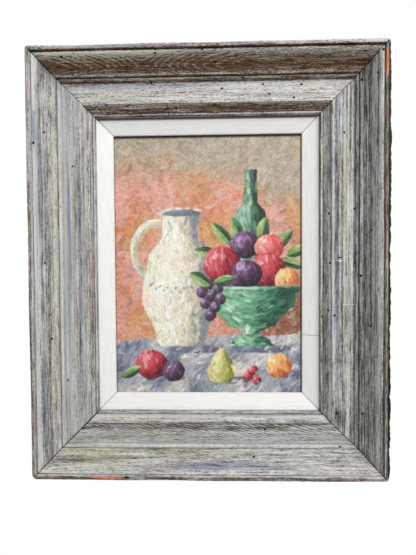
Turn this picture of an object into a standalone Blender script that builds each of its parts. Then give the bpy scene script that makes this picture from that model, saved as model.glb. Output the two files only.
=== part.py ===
"""A framed oil painting: a deep limed-wood frame, a white liner and a stretched canvas.

Metres, +Z up. The picture faces -Y and its back is towards +Y. The origin is on the flat back
of the top rail, midway along it, which is where the frame meets the wall.
"""

import math
from typing import NamedTuple

import bmesh
import bpy
from mathutils import Matrix, Vector

# The opening that the picture is seen through, inside the liner
SIGHT_WIDTH = 0.286
SIGHT_HEIGHT = 0.394

# Clearance between neighbouring pieces
GAP = 0.0003

# Moulding of the frame, from its outer edge in: widths across the rail
LIP_WIDTH = 0.0058
LIP_ROUND = 0.0022
QUIRK_WIDTH = 0.0024
COVE_WIDTH = 0.0223
BEAD_QUIRK_WIDTH = 0.0014
BEAD_WIDTH = 0.0042
STEP_WIDTH = 0.0032
STEP_SLOPE = 0.0003
BAND_WIDTH = 0.0334
SCOOP_WIDTH = 0.0102
SIGHT_QUIRK_WIDTH = 0.0008
SIGHT_BEAD_WIDTH = 0.0048

# Moulding of the frame: how far its members stand over one another, towards the viewer
SIGHT_LIP = 0.0047
SIGHT_BEAD_CROWN = 0.0016
SIGHT_QUIRK_DEPTH = 0.0024
SCOOP_FALL = 0.0105
BAND_RISE = 0.0085
BAND_SWELL = 0.0007
STEP_DEPTH = 0.0015
BEAD_HEIGHT = 0.0036
BEAD_CROWN = 0.0011
BEAD_QUIRK_DEPTH = 0.0020
COVE_FALL = 0.0310
QUIRK_DEPTH = 0.0024
LIP_SLOPE = 0.0012
LIP_RISE = 0.0028

# Where the cove's curve is pulled to, as shares of its width and its fall
SHOULDER_PULL = (0.42, 0.02)
HOLLOW_PULL = (0.30, 0.74)

# The frame behind its face
OUTER_WALL = 0.0285
REAR_LAND = 0.044
REBATE_WIDTH = 0.0065
CORNER_RADIUS = 0.0045

# Liner
LINER_SHOWN = 0.0231
LINER_BEVEL = 0.009
LINER_EDGE = 0.003
LINER_RECESS = 0.004
CANVAS_REBATE = 0.007

# Canvas and its strainer
CANVAS_THICKNESS = 0.001
TURNOVER = 0.014
STRAINER_THICKNESS = 0.014
BAR_WIDTH = 0.038
BAR_SEAT = 0.006
BAR_RELIEF = 0.002

# Brads that hold the liner in the frame, and the canvas in the liner
BRAD_RADIUS = 0.0008
BRAD_POINT = 0.0016
BRAD_TIP_RADIUS = 0.0002
BRAD_HEAD_RADIUS = 0.0013
BRAD_HEAD_TOP_RADIUS = 0.0007
BRAD_HEAD = 0.0008
BRAD_SHOWN = 0.011
BRAD_DRIVEN = 0.012
BRAD_BACKING = 0.003
LINER_BRAD_INSET = 0.085
CANVAS_BRAD_INSET = 0.050

# Facets of the curved stretches
LIP_FACETS = 4
COVE_FACETS = 14
BEAD_FACETS = 8
BAND_FACETS = 6
SCOOP_FACETS = 8
CORNER_FACETS = 3
BRAD_SIDES = 12
SHARP_ANGLE = math.radians(25)

# Depths off the wall, worked out from the stack of pieces
LINER_BRAD_DEPTH = LINER_RECESS - GAP - BRAD_HEAD_RADIUS
CANVAS_BRAD_DEPTH = LINER_RECESS + BRAD_BACKING
CANVAS_BACK = CANVAS_BRAD_DEPTH + BRAD_HEAD_RADIUS + GAP
STRAINER_BACK = CANVAS_BACK + CANVAS_THICKNESS + GAP
STRAINER_FRONT = STRAINER_BACK + STRAINER_THICKNESS
CANVAS_FRONT = STRAINER_FRONT + GAP + CANVAS_THICKNESS
LINER_LIP_BACK = CANVAS_FRONT + GAP
LINER_LIP_FRONT = LINER_LIP_BACK + LINER_EDGE
LINER_FRONT = LINER_LIP_FRONT + LINER_BEVEL
LEDGE = LINER_FRONT + GAP
SIGHT_TOP = LEDGE + SIGHT_LIP
SCOOP_FOOT = SIGHT_TOP - SIGHT_QUIRK_DEPTH
BAND_TOP = SCOOP_FOOT + SCOOP_FALL
BAND_START = BAND_TOP - BAND_RISE
STEP_FLOOR = BAND_START - STEP_DEPTH
BEAD_TOP = STEP_FLOOR + BEAD_HEIGHT
SHOULDER = BEAD_TOP + COVE_FALL
FRAME_DEPTH = SHOULDER + LIP_RISE

# Places across the rail, from its outer edge in
COVE_AT = LIP_WIDTH + QUIRK_WIDTH
BEAD_QUIRK_AT = COVE_AT + COVE_WIDTH
BEAD_AT = BEAD_QUIRK_AT + BEAD_QUIRK_WIDTH
STEP_AT = BEAD_AT + BEAD_WIDTH
BAND_AT = STEP_AT + STEP_WIDTH
SCOOP_AT = BAND_AT + BAND_WIDTH
SIGHT_QUIRK_AT = SCOOP_AT + SCOOP_WIDTH
SIGHT_BEAD_AT = SIGHT_QUIRK_AT + SIGHT_QUIRK_WIDTH
RAIL_WIDTH = SIGHT_BEAD_AT + SIGHT_BEAD_WIDTH
REBATE_AT = RAIL_WIDTH - REBATE_WIDTH
LAND_AT = REBATE_AT - REAR_LAND

# Half sizes of each rectangle, across and up, about the picture's centre
ALL_ROUND = Vector((1, 1))
SIGHT_HALF = Vector((SIGHT_WIDTH, SIGHT_HEIGHT)) / 2
FRAME_HALF = SIGHT_HALF + ALL_ROUND * (LINER_SHOWN + RAIL_WIDTH)
FRAME_OPENING = FRAME_HALF - ALL_ROUND * REBATE_AT
LINER_WIDTH = LINER_SHOWN + REBATE_WIDTH - GAP
LINER_HALF = SIGHT_HALF + ALL_ROUND * LINER_WIDTH
LINER_OPENING = SIGHT_HALF + ALL_ROUND * CANVAS_REBATE
CANVAS_HALF = LINER_OPENING - ALL_ROUND * GAP
CANVAS_INSIDE = CANVAS_HALF - ALL_ROUND * CANVAS_THICKNESS
STRAINER_HALF = CANVAS_INSIDE - ALL_ROUND * GAP

# The picture's centre is this far above the middle of the top rail's rear land
CENTRE_HEIGHT = LAND_AT + REAR_LAND / 2 - FRAME_HALF.y

# Each side's turn about the picture's axis, from the top one
SIDE_TURNS = {"top": 0, "right": 90, "bottom": 180, "left": 270}

# Base colour, roughness and metallic value of each finish
FINISHES = {
    "limed_wood": ((0.36, 0.34, 0.30), 0.75, 0.0),
    "white_liner": ((0.80, 0.79, 0.76), 0.65, 0.0),
    "painted_canvas": ((0.50, 0.24, 0.17), 0.50, 0.0),
    "strainer_pine": ((0.55, 0.38, 0.21), 0.70, 0.0),
    "brad_steel": ((0.30, 0.29, 0.28), 0.40, 1.0),
}


class Side(NamedTuple):
    """One side of the picture: its name, whether it is upright, and the empty it hangs on."""

    name: str
    upright: bool
    holder: bpy.types.Object

    def span(self, half):
        """How far out the side lies, and how far it reaches each way, for those half sizes."""
        return (half.x, half.y) if self.upright else (half.y, half.x)


def clear_scene():
    """Removes every object that the file opened with."""
    for old in list(bpy.data.objects):
        bpy.data.objects.remove(old)


def make_collection(name):
    """A collection of that name in the scene."""
    made = bpy.data.collections.new(name)
    bpy.context.scene.collection.children.link(made)
    return made


def make_materials():
    """One Principled material for each finish, by name."""
    made = {}
    for name, (colour, roughness, metallic) in FINISHES.items():
        material = bpy.data.materials.new(name)
        material.use_nodes = True
        shader = material.node_tree.nodes["Principled BSDF"]
        shader.inputs["Base Color"].default_value = (*colour, 1)
        shader.inputs["Roughness"].default_value = roughness
        shader.inputs["Metallic"].default_value = metallic
        made[name] = material
    return made


def make_sides(collection):
    """The four sides, each on an empty turned about the picture's centre."""
    centre = bpy.data.objects.new("picture_centre", None)
    centre.location = (0, 0, CENTRE_HEIGHT)
    collection.objects.link(centre)
    sides = []
    for name, turn in SIDE_TURNS.items():
        holder = bpy.data.objects.new(f"{name}_side", None)
        holder.rotation_euler = (0, math.radians(turn), 0)
        holder.parent = centre
        collection.objects.link(holder)
        sides.append(Side(name, turn % 180 == 90, holder))
    return centre, sides


def arc(centre, radii, start, end, facets):
    """Points on an ellipse from one angle to another, in degrees, ends included."""
    points = []
    for step in range(facets + 1):
        angle = math.radians(start + (end - start) * step / facets)
        across = centre[0] + radii[0] * math.cos(angle)
        depth = centre[1] + radii[1] * math.sin(angle)
        points.append((across, depth))
    return points


def cove(start, end):
    """The cove's S curve, from its rounded shoulder down to its hollow foot."""
    width = end[0] - start[0]
    fall = start[1] - end[1]
    points = []
    for step in range(COVE_FACETS + 1):
        t = step / COVE_FACETS
        shoulder_share = 3 * t * (1 - t) ** 2
        hollow_share = 3 * t * t * (1 - t)
        across = shoulder_share * SHOULDER_PULL[0] + hollow_share * HOLLOW_PULL[0] + t**3
        down = shoulder_share * SHOULDER_PULL[1] + hollow_share * HOLLOW_PULL[1] + t**3
        points.append((start[0] + width * across, start[1] - fall * down))
    return points


def bead(start, width, top, crown):
    """A low round bead that starts at one place across the rail and is crowned at its top."""
    return arc((start + width / 2, top - crown), (width / 2, crown), 180, 0, BEAD_FACETS)


def band():
    """The broad band that rises inwards to an arris, a little swollen between its edges."""
    points = []
    for step in range(BAND_FACETS + 1):
        t = step / BAND_FACETS
        swell = BAND_SWELL * math.sin(math.pi * t)
        points.append((BAND_AT + BAND_WIDTH * t, BAND_START + BAND_RISE * t + swell))
    return points


def rail_outline():
    """Section of the frame's moulding: (distance in from the outer edge, depth off the wall)."""
    lip_centre = (LIP_ROUND, FRAME_DEPTH - LIP_ROUND)
    lip = arc(lip_centre, (LIP_ROUND, LIP_ROUND), 180, 90, LIP_FACETS)
    scoop = arc((SIGHT_QUIRK_AT, BAND_TOP), (SCOOP_WIDTH, SCOOP_FALL), 180, 270, SCOOP_FACETS)
    return [
        *lip,
        (LIP_WIDTH, FRAME_DEPTH - LIP_SLOPE),
        (LIP_WIDTH + QUIRK_WIDTH / 2, SHOULDER - QUIRK_DEPTH),
        *cove((COVE_AT, SHOULDER), (BEAD_QUIRK_AT, BEAD_TOP)),
        (BEAD_QUIRK_AT + BEAD_QUIRK_WIDTH / 2, BEAD_TOP - BEAD_QUIRK_DEPTH),
        *bead(BEAD_AT, BEAD_WIDTH, BEAD_TOP, BEAD_CROWN),
        (STEP_AT + STEP_SLOPE, STEP_FLOOR),
        (BAND_AT - STEP_SLOPE, STEP_FLOOR),
        *band(),
        *scoop[1:],
        *bead(SIGHT_BEAD_AT, SIGHT_BEAD_WIDTH, SIGHT_TOP, SIGHT_BEAD_CROWN),
        (RAIL_WIDTH, LEDGE),
        (REBATE_AT, LEDGE),
        (REBATE_AT, 0),
        (LAND_AT, 0),
        (0, FRAME_DEPTH - OUTER_WALL),
    ]


def liner_outline():
    """Section of the liner: flat under the frame's lip, then bevelled down to the picture."""
    return [
        (0, LINER_RECESS),
        (0, LINER_FRONT),
        (LINER_WIDTH - LINER_SHOWN, LINER_FRONT),
        (LINER_WIDTH, LINER_LIP_FRONT),
        (LINER_WIDTH, LINER_LIP_BACK),
        (LINER_WIDTH - CANVAS_REBATE, LINER_LIP_BACK),
        (LINER_WIDTH - CANVAS_REBATE, LINER_RECESS),
    ]


def bar_outline():
    """Section of a strainer bar: its front falls back from the canvas after a narrow seat."""
    return [
        (0, STRAINER_BACK),
        (0, STRAINER_FRONT),
        (BAR_SEAT, STRAINER_FRONT),
        (BAR_WIDTH, STRAINER_FRONT - BAR_RELIEF),
        (BAR_WIDTH, STRAINER_BACK),
    ]


def closed_outline_mesh(name, outline, half_thickness):
    """A closed mesh of a flat outline, pulled out to both sides along local Z."""
    curve = bpy.data.curves.new(name, "CURVE")
    curve.dimensions = "2D"
    curve.fill_mode = "BOTH"
    curve.extrude = half_thickness
    spline = curve.splines.new("POLY")
    spline.points.add(len(outline) - 1)
    for point, (x, y) in zip(spline.points, outline):
        point.co = (x, y, 0, 1)
    spline.use_cyclic_u = True
    drawn = bpy.data.objects.new(name, curve)
    bpy.context.scene.collection.objects.link(drawn)
    evaluated = drawn.evaluated_get(bpy.context.evaluated_depsgraph_get())
    mesh = bpy.data.meshes.new_from_object(evaluated)
    bpy.data.objects.remove(drawn)
    bpy.data.curves.remove(curve)
    return mesh


def close_mesh(mesh, merge=0.00001):
    """Welds a mesh's doubled points and turns its faces outwards."""
    shape = bmesh.new()
    shape.from_mesh(mesh)
    bmesh.ops.remove_doubles(shape, verts=shape.verts, dist=merge)
    bmesh.ops.recalc_face_normals(shape, faces=shape.faces)
    shape.to_mesh(mesh)
    shape.free()


def add_mitred_length(kind, outline, half, side, material, collection):
    """Adds one mitred length of a moulding along one side of a rectangle.

    The outline is laid along the top side and the side's empty turns it. Each end slides in to
    the mitre plane, short of it by half the joint's clearance.
    """
    name = f"{kind}_{side.name}"
    out, reach = side.span(half)
    mesh = closed_outline_mesh(name, outline, 1)
    for vertex in mesh.vertices:
        inward, depth, end = vertex.co
        along = reach - inward - GAP * math.sqrt(0.5)
        vertex.co = (math.copysign(along, end), -depth, out - inward)
    close_mesh(mesh)
    mesh.shade_smooth()
    mesh.set_sharp_from_angle(angle=SHARP_ANGLE)
    mesh.materials.append(material)
    made = bpy.data.objects.new(name, mesh)
    made.parent = side.holder
    collection.objects.link(made)
    return made


def add_cutter(cutter, parent, collection, targets):
    """Hides an object that cuts, and takes its shape out of each target."""
    cutter.parent = parent
    cutter.hide_render = True
    cutter.display_type = "WIRE"
    collection.objects.link(cutter)
    for target in targets:
        cut = target.modifiers.new(f"cut {cutter.name}", "BOOLEAN")
        cut.operation = "DIFFERENCE"
        cut.object = cutter


def round_corners(rails, centre, cutters):
    """Rounds the frame's four outer corners, where two rails meet."""
    middle = (-CORNER_RADIUS, -CORNER_RADIUS)
    bend = arc(middle, (CORNER_RADIUS, CORNER_RADIUS), 0, 90, CORNER_FACETS)
    bend = [Vector(point) for point in bend]
    start = bend[1].lerp(bend[0], 3)
    end = bend[-2].lerp(bend[-1], 3)
    outline = [start, *bend[1:-1], end, Vector((start.x, end.y))]
    for across, across_name in ((1, "right"), (-1, "left")):
        for up, up_name in ((1, "top"), (-1, "bottom")):
            mesh = closed_outline_mesh("corner_cutter", outline, 2 * FRAME_DEPTH)
            mesh.transform(Matrix.Rotation(math.radians(90), 4, "X"))
            mesh.transform(Matrix.Diagonal((across, 1, up, 1)))
            close_mesh(mesh)
            cutter = bpy.data.objects.new(f"corner_cutter_{up_name}_{across_name}", mesh)
            cutter.location = (across * FRAME_HALF.x, 0, up * FRAME_HALF.y)
            add_cutter(cutter, centre, cutters, [rails[across_name], rails[up_name]])


def brad_mesh(material):
    """A headed brad along +Z, from its driven point to its head."""
    length = BRAD_DRIVEN + BRAD_SHOWN
    outline = [
        (BRAD_HEAD_TOP_RADIUS, length),
        (BRAD_HEAD_RADIUS, length - BRAD_HEAD / 2),
        (BRAD_HEAD_RADIUS, length - BRAD_HEAD),
        (BRAD_RADIUS, length - BRAD_HEAD),
        (BRAD_RADIUS, BRAD_POINT),
        (BRAD_TIP_RADIUS, 0),
    ]
    shape = bmesh.new()
    corners = [shape.verts.new((x, 0, z)) for x, z in outline]
    edges = [shape.edges.new(pair) for pair in zip(corners, corners[1:])]
    bmesh.ops.spin(
        shape,
        geom=corners + edges,
        axis=(0, 0, 1),
        angle=math.tau,
        steps=BRAD_SIDES,
        use_merge=True,
    )
    bmesh.ops.holes_fill(shape, edges=shape.edges, sides=BRAD_SIDES)
    bmesh.ops.recalc_face_normals(shape, faces=shape.faces)
    mesh = bpy.data.meshes.new("brad")
    shape.to_mesh(mesh)
    shape.free()
    mesh.materials.append(material)
    return mesh


def drill_mesh():
    """A cylinder that clears a brad all round, past its point and its head."""
    shape = bmesh.new()
    bmesh.ops.create_cone(
        shape,
        cap_ends=True,
        segments=BRAD_SIDES,
        radius1=BRAD_RADIUS + GAP,
        radius2=BRAD_RADIUS + GAP,
        depth=BRAD_DRIVEN + BRAD_SHOWN + 2 * GAP,
    )
    middle = (BRAD_DRIVEN + BRAD_SHOWN) / 2
    bmesh.ops.translate(shape, verts=shape.verts, vec=(0, 0, middle))
    mesh = bpy.data.meshes.new("drill")
    shape.to_mesh(mesh)
    shape.free()
    return mesh


def add_brads(kind, opening, inset, depth, side, held_in, brad, collections):
    """Drives two brads into one side of an opening, square to it, each in its own hole."""
    parts, cutters = collections
    out, reach = side.span(opening)
    for end, way in (("a", -1), ("b", 1)):
        place = (way * (reach - inset), -depth, out + BRAD_DRIVEN)
        driven = bpy.data.objects.new(f"{kind}_{side.name}_{end}", brad)
        hole = bpy.data.objects.new(f"{kind}_drill_{side.name}_{end}", drill_mesh())
        for thing in (driven, hole):
            thing.location = place
            thing.rotation_euler = (math.radians(180), 0, 0)
        driven.parent = side.holder
        parts.objects.link(driven)
        add_cutter(hole, side.holder, cutters, [held_in])


def box(name, half, back, front):
    """A box centred on the picture, from one depth off the wall to another."""
    shape = bmesh.new()
    bmesh.ops.create_cube(shape, size=1)
    bmesh.ops.scale(shape, verts=shape.verts, vec=(2 * half.x, front - back, 2 * half.y))
    bmesh.ops.translate(shape, verts=shape.verts, vec=(0, -(front + back) / 2, 0))
    mesh = bpy.data.meshes.new(name)
    shape.to_mesh(mesh)
    shape.free()
    return bpy.data.objects.new(name, mesh)


def add_canvas(material, centre, collections):
    """The stretched cloth: its face, its turned sides and the margin folded on to the back."""
    parts, cutters = collections
    canvas = box("canvas", CANVAS_HALF, CANVAS_BACK, CANVAS_FRONT)
    canvas.data.materials.append(material)
    canvas.parent = centre
    parts.objects.link(canvas)
    room_back = CANVAS_BACK + CANVAS_THICKNESS
    room = box("strainer_room", CANVAS_INSIDE, room_back, CANVAS_FRONT - CANVAS_THICKNESS)
    add_cutter(room, centre, cutters, [canvas])
    window_half = CANVAS_HALF - ALL_ROUND * TURNOVER
    window = box("back_window", window_half, CANVAS_BACK - CANVAS_THICKNESS, STRAINER_FRONT)
    add_cutter(window, centre, cutters, [canvas])


def main():
    """Builds the whole framed painting."""
    clear_scene()
    parts = make_collection("framed_oil_painting")
    cutters = make_collection("cutters")
    materials = make_materials()
    centre, sides = make_sides(parts)
    brad = brad_mesh(materials["brad_steel"])
    wood, white, pine = (materials[name] for name in ("limed_wood", "white_liner", "strainer_pine"))
    rails = {}
    for side in sides:
        rail = add_mitred_length("frame_rail", rail_outline(), FRAME_HALF, side, wood, parts)
        liner = add_mitred_length("liner", liner_outline(), LINER_HALF, side, white, parts)
        add_mitred_length("strainer_bar", bar_outline(), STRAINER_HALF, side, pine, parts)
        places = (
            ("liner_brad", FRAME_OPENING, LINER_BRAD_INSET, LINER_BRAD_DEPTH, rail),
            ("canvas_brad", LINER_OPENING, CANVAS_BRAD_INSET, CANVAS_BRAD_DEPTH, liner),
        )
        for kind, opening, inset, depth, held_in in places:
            add_brads(kind, opening, inset, depth, side, held_in, brad, (parts, cutters))
        rails[side.name] = rail
    round_corners(rails, centre, cutters)
    add_canvas(materials["painted_canvas"], centre, (parts, cutters))


main()
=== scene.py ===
"""Looks of a framed oil painting: a limed, wormy wood frame, a white liner and a painted canvas.

Everything is in metres in the part's own frame: the picture faces -Y, +Z is up, and the origin
is on the flat back of the top rail.
"""

import logging
import math
from dataclasses import dataclass, field
from enum import Enum

import bmesh
import bpy
import numpy as np
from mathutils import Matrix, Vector


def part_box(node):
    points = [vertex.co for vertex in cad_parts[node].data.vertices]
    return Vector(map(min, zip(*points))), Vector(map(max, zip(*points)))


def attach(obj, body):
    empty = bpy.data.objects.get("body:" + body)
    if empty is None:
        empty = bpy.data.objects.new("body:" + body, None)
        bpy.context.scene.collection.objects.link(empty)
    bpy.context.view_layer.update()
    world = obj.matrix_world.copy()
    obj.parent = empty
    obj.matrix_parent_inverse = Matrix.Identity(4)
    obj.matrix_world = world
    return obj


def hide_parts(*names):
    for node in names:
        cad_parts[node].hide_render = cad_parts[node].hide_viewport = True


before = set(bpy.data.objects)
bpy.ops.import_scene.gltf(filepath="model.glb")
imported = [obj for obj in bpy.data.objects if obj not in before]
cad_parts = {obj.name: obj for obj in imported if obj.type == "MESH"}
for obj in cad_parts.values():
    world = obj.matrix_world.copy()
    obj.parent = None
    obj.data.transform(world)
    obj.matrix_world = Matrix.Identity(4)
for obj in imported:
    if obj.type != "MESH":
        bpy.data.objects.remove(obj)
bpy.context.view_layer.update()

log = logging.getLogger("framed_oil_painting")

Array = np.ndarray
Pair = tuple[float, float]
Triple = tuple[float, float, float]
Box = tuple[float, float, float, float]
Socket = bpy.types.NodeSocket
Piece = bpy.types.Object

MM = 0.001
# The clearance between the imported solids, and how far it sets a mitred end back
GAP = 0.3 * MM
MITRE_GAP = GAP / math.sqrt(2)
# The photograph's height in pixels, which the camera's focal length is measured against
IMAGE_HEIGHT = 555


def to_linear(colour: str) -> tuple[float, float, float, float]:
    """Turns an sRGB hex colour to Blender's linear values.

    Args:
        colour: Six hex digits after a hash sign.

    Returns:
        Linear red, green, blue and an alpha of 1.
    """
    parts = [int(colour[at : at + 2], 16) / 255 for at in (1, 3, 5)]
    linear = [p / 12.92 if p <= 0.04045 else ((p + 0.055) / 1.055) ** 2.4 for p in parts]
    return (*linear, 1.0)


def smooth_step(value: Array, low: float, high: float) -> Array:
    """Rises smoothly from 0 at low to 1 at high, or falls where low is above high."""
    share = np.clip((value - low) / (high - low), 0, 1)
    return share * share * (3 - 2 * share)


class Speckle:
    """Smooth seeded noise over a plane, for every irregular line, patch and wear."""

    def __init__(self, seed: int) -> None:
        """Draws the table of values from its own seed."""
        self.table = np.random.default_rng(seed).uniform(-1, 1, (256, 256))

    def at(self, x: Array, y: Array) -> Array:
        """Reads the noise.

        Args:
            x: First coordinate, in cells.
            y: Second coordinate, in cells.

        Returns:
            Values from -1 to 1, smooth between the cells' corners.
        """
        x, y = np.broadcast_arrays(x, y)
        left, low = np.floor(x), np.floor(y)
        across, up = x - left, y - low
        across = across * across * (3 - 2 * across)
        up = up * up * (3 - 2 * up)
        column, row = left.astype(int) % 256, low.astype(int) % 256
        next_column, next_row = (column + 1) % 256, (row + 1) % 256
        near = self.table[column, row] * (1 - across) + self.table[next_column, row] * across
        far = self.table[column, next_row] * (1 - across)
        far = far + self.table[next_column, next_row] * across
        return near * (1 - up) + far * up

    def layered(self, x: Array, y: Array, layers: int = 3) -> Array:
        """Adds finer and fainter copies of the noise.

        Args:
            x: First coordinate, in cells of the coarsest layer.
            y: Second coordinate, in cells of the coarsest layer.
            layers: How many layers, each twice as fine and half as strong.

        Returns:
            Values from about -1 to 1.
        """
        total = 0.0
        for layer in range(layers):
            scale = 2.0**layer
            total = total + self.at(x * scale + 17.3 * layer, y * scale + 5.1 * layer) / scale
        return total / (2 - 0.5 ** (layers - 1))


@dataclass(frozen=True)
class Side:
    """One side of the picture, and how its lengths of moulding are turned into place."""

    name: str
    quarter_turns: int

    @property
    def upright(self) -> bool:
        """Whether the side stands upright."""
        return self.quarter_turns % 2 == 1

    def place(self, along: Array, out: Array, depth: Array) -> Array:
        """Puts points given for the top side on this side.

        Args:
            along: Distance along the side from its middle.
            out: Distance out from the picture's centre.
            depth: Distance off the wall.

        Returns:
            Points in the part's frame, one to a row.
        """
        across, up = along, out
        for _ in range(self.quarter_turns):
            across, up = up, -across
        return np.column_stack([across, -depth, up + CENTRE_HEIGHT])


SIDES = (Side("top", 0), Side("right", 1), Side("bottom", 2), Side("left", 3))

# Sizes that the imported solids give
TOP_LOW, TOP_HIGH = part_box("frame_rail_top")
LEFT_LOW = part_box("frame_rail_left")[0]
LINER_LOW, LINER_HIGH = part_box("liner_top")
CANVAS_LOW, CANVAS_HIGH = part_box("canvas")
BAR_LOW, BAR_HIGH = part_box("strainer_bar_top")
RAIL_WIDTH = TOP_HIGH.z - TOP_LOW.z
FRAME_DEPTH = -TOP_LOW.y
CENTRE_HEIGHT = (CANVAS_LOW.z + CANVAS_HIGH.z) / 2
FRAME_HALF = (-LEFT_LOW.x, TOP_HIGH.z - CENTRE_HEIGHT)
LINER_HALF = (LINER_HIGH.x + MITRE_GAP, LINER_HIGH.z - CENTRE_HEIGHT)
LINER_WIDTH = LINER_HIGH.z - LINER_LOW.z
LINER_RECESS = -LINER_HIGH.y
LINER_FRONT = -LINER_LOW.y
SIGHT_HALF = (LINER_HALF[0] - LINER_WIDTH, LINER_HALF[1] - LINER_WIDTH)
CANVAS_HALF = (CANVAS_HIGH.x, CANVAS_HIGH.z - CENTRE_HEIGHT)
CANVAS_FRONT = -CANVAS_LOW.y
CANVAS_BACK = -CANVAS_HIGH.y
BAR_HALF = (BAR_HIGH.x + MITRE_GAP, BAR_HIGH.z - CENTRE_HEIGHT)
BAR_FRONT = -BAR_LOW.y
BAR_BACK = -BAR_HIGH.y
BAR_WIDTH = BAR_HIGH.z - BAR_LOW.z


class Slot(Enum):
    """The record's material slots, by name."""

    LIMED_WOOD = "limed_wood"
    WHITE_LINER = "white_liner"
    PAINTED_CANVAS = "painted_canvas"
    STRAINER_PINE = "strainer_pine"


def add_node(
    tree: bpy.types.NodeTree,
    kind: str,
    inputs: dict[int | str, object] | None = None,
    **settings: object,
) -> bpy.types.Node:
    """Adds a node with its settings and links.

    Args:
        tree: The tree that takes it.
        kind: Its type, after ShaderNode.
        inputs: What goes into its sockets: a value, or another node's output.
        settings: Its own properties.

    Returns:
        The node.
    """
    made = tree.nodes.new(f"ShaderNode{kind}")
    for name, value in settings.items():
        setattr(made, name, value)
    for socket, value in (inputs or {}).items():
        if isinstance(value, Socket):
            tree.links.new(value, made.inputs[socket])
        else:
            made.inputs[socket].default_value = value
    return made


class Finish:
    """A material under way: its tree, and the few steps that every finish repeats."""

    def __init__(self, name: str) -> None:
        """Starts an empty material.

        Args:
            name: The finish's name.
        """
        self.material = bpy.data.materials.new(name)
        self.material.use_nodes = True
        self.tree = self.material.node_tree
        self.tree.nodes.clear()

    def add(self, kind: str, inputs: dict | None = None, **settings: object) -> bpy.types.Node:
        """Adds a node to this material."""
        return add_node(self.tree, kind, inputs, **settings)

    def fact(self, name: str, output: str = "Fac") -> Socket:
        """Reads one of the piece's own attributes."""
        return self.add("Attribute", attribute_name=name).outputs[output]

    def sum(self, operation: str, *values: object) -> Socket:
        """Works out one number from one, two or three."""
        return self.add("Math", dict(enumerate(values)), operation=operation).outputs[0]

    def swing(self, value: Socket, amount: float) -> Socket:
        """Turns a value round a half to one that swings evenly round 0."""
        return self.sum("MULTIPLY_ADD", value, amount, -amount / 2)

    def noise(
        self,
        place: Socket,
        size: Triple,
        detail: float = 2.0,
        rough: float = 0.55,
    ) -> Socket:
        """Adds noise stretched to a real size.

        Args:
            place: Where to read it, in metres.
            size: Length, width and depth of its cells, in metres.
            detail: How many finer layers it has.
            rough: How strong the finer layers are.

        Returns:
            The noise's value.
        """
        scaled = self.add("Mapping", {0: place, 3: [1 / s for s in size]})
        inputs = {"Vector": scaled.outputs[0], "Scale": 1.0, "Detail": detail, "Roughness": rough}
        return self.add("TexNoise", inputs).outputs[0]

    def weave(self, place: Socket, scale: float, across: str, stray: float = 0.0) -> Socket:
        """Adds two crossing sets of threads, one in bands along X and one along another axis.

        Args:
            place: Where to read them, in metres.
            scale: The wave's scale: its bands are 2 pi / 20 apart at a scale of 1.
            across: The other axis.
            stray: How far the threads stray.

        Returns:
            The height of both sets together, from 0 to 2.
        """
        wave = {"Vector": place, "Scale": scale, "Distortion": stray}
        weft = self.add("TexWave", wave, bands_direction="X").outputs[1]
        warp = self.add("TexWave", wave, bands_direction=across).outputs[1]
        return self.sum("ADD", weft, warp)

    def ramp(self, value: Socket, low: float, high: float, top: float = 1.0) -> Socket:
        """Rises smoothly from 0 at low to top at high."""
        inputs = {0: value, 1: low, 2: high, 3: 0.0, 4: top}
        made = self.add("MapRange", inputs, interpolation_type="SMOOTHSTEP")
        return made.outputs[0]

    def mix(self, share: object, first: object, second: object, blend: str = "MIX") -> Socket:
        """Mixes two colours, each a socket or a hex colour."""
        inputs = {0: share}
        for socket, colour in ((6, first), (7, second)):
            inputs[socket] = to_linear(colour) if isinstance(colour, str) else colour
        made = self.add("Mix", inputs, data_type="RGBA", blend_type=blend)
        return made.outputs[2]

    def surface(
        self,
        colour: object,
        roughness: object,
        height: Socket | None = None,
        relief: float = 0.0,
        **plain: float,
    ) -> bpy.types.Material:
        """Closes the tree with its shader.

        Args:
            colour: Base colour, as a socket or four numbers.
            roughness: Roughness, as a socket or a number.
            height: Height of the fine relief, from 0 to 1.
            relief: How deep that relief is, in metres.
            plain: Other shader values by socket name, with _ for each space.

        Returns:
            The finished material.
        """
        inputs: dict[int | str, object] = {"Base Color": colour, "Roughness": roughness}
        inputs |= {name.replace("_", " "): value for name, value in plain.items()}
        if height is not None:
            bump = self.add("Bump", {"Height": height, "Distance": relief, "Strength": 1.0})
            inputs["Normal"] = bump.outputs[0]
        shader = self.add("BsdfPrincipled", inputs)
        self.add("OutputMaterial", {0: shader.outputs[0]})
        return self.material


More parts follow.
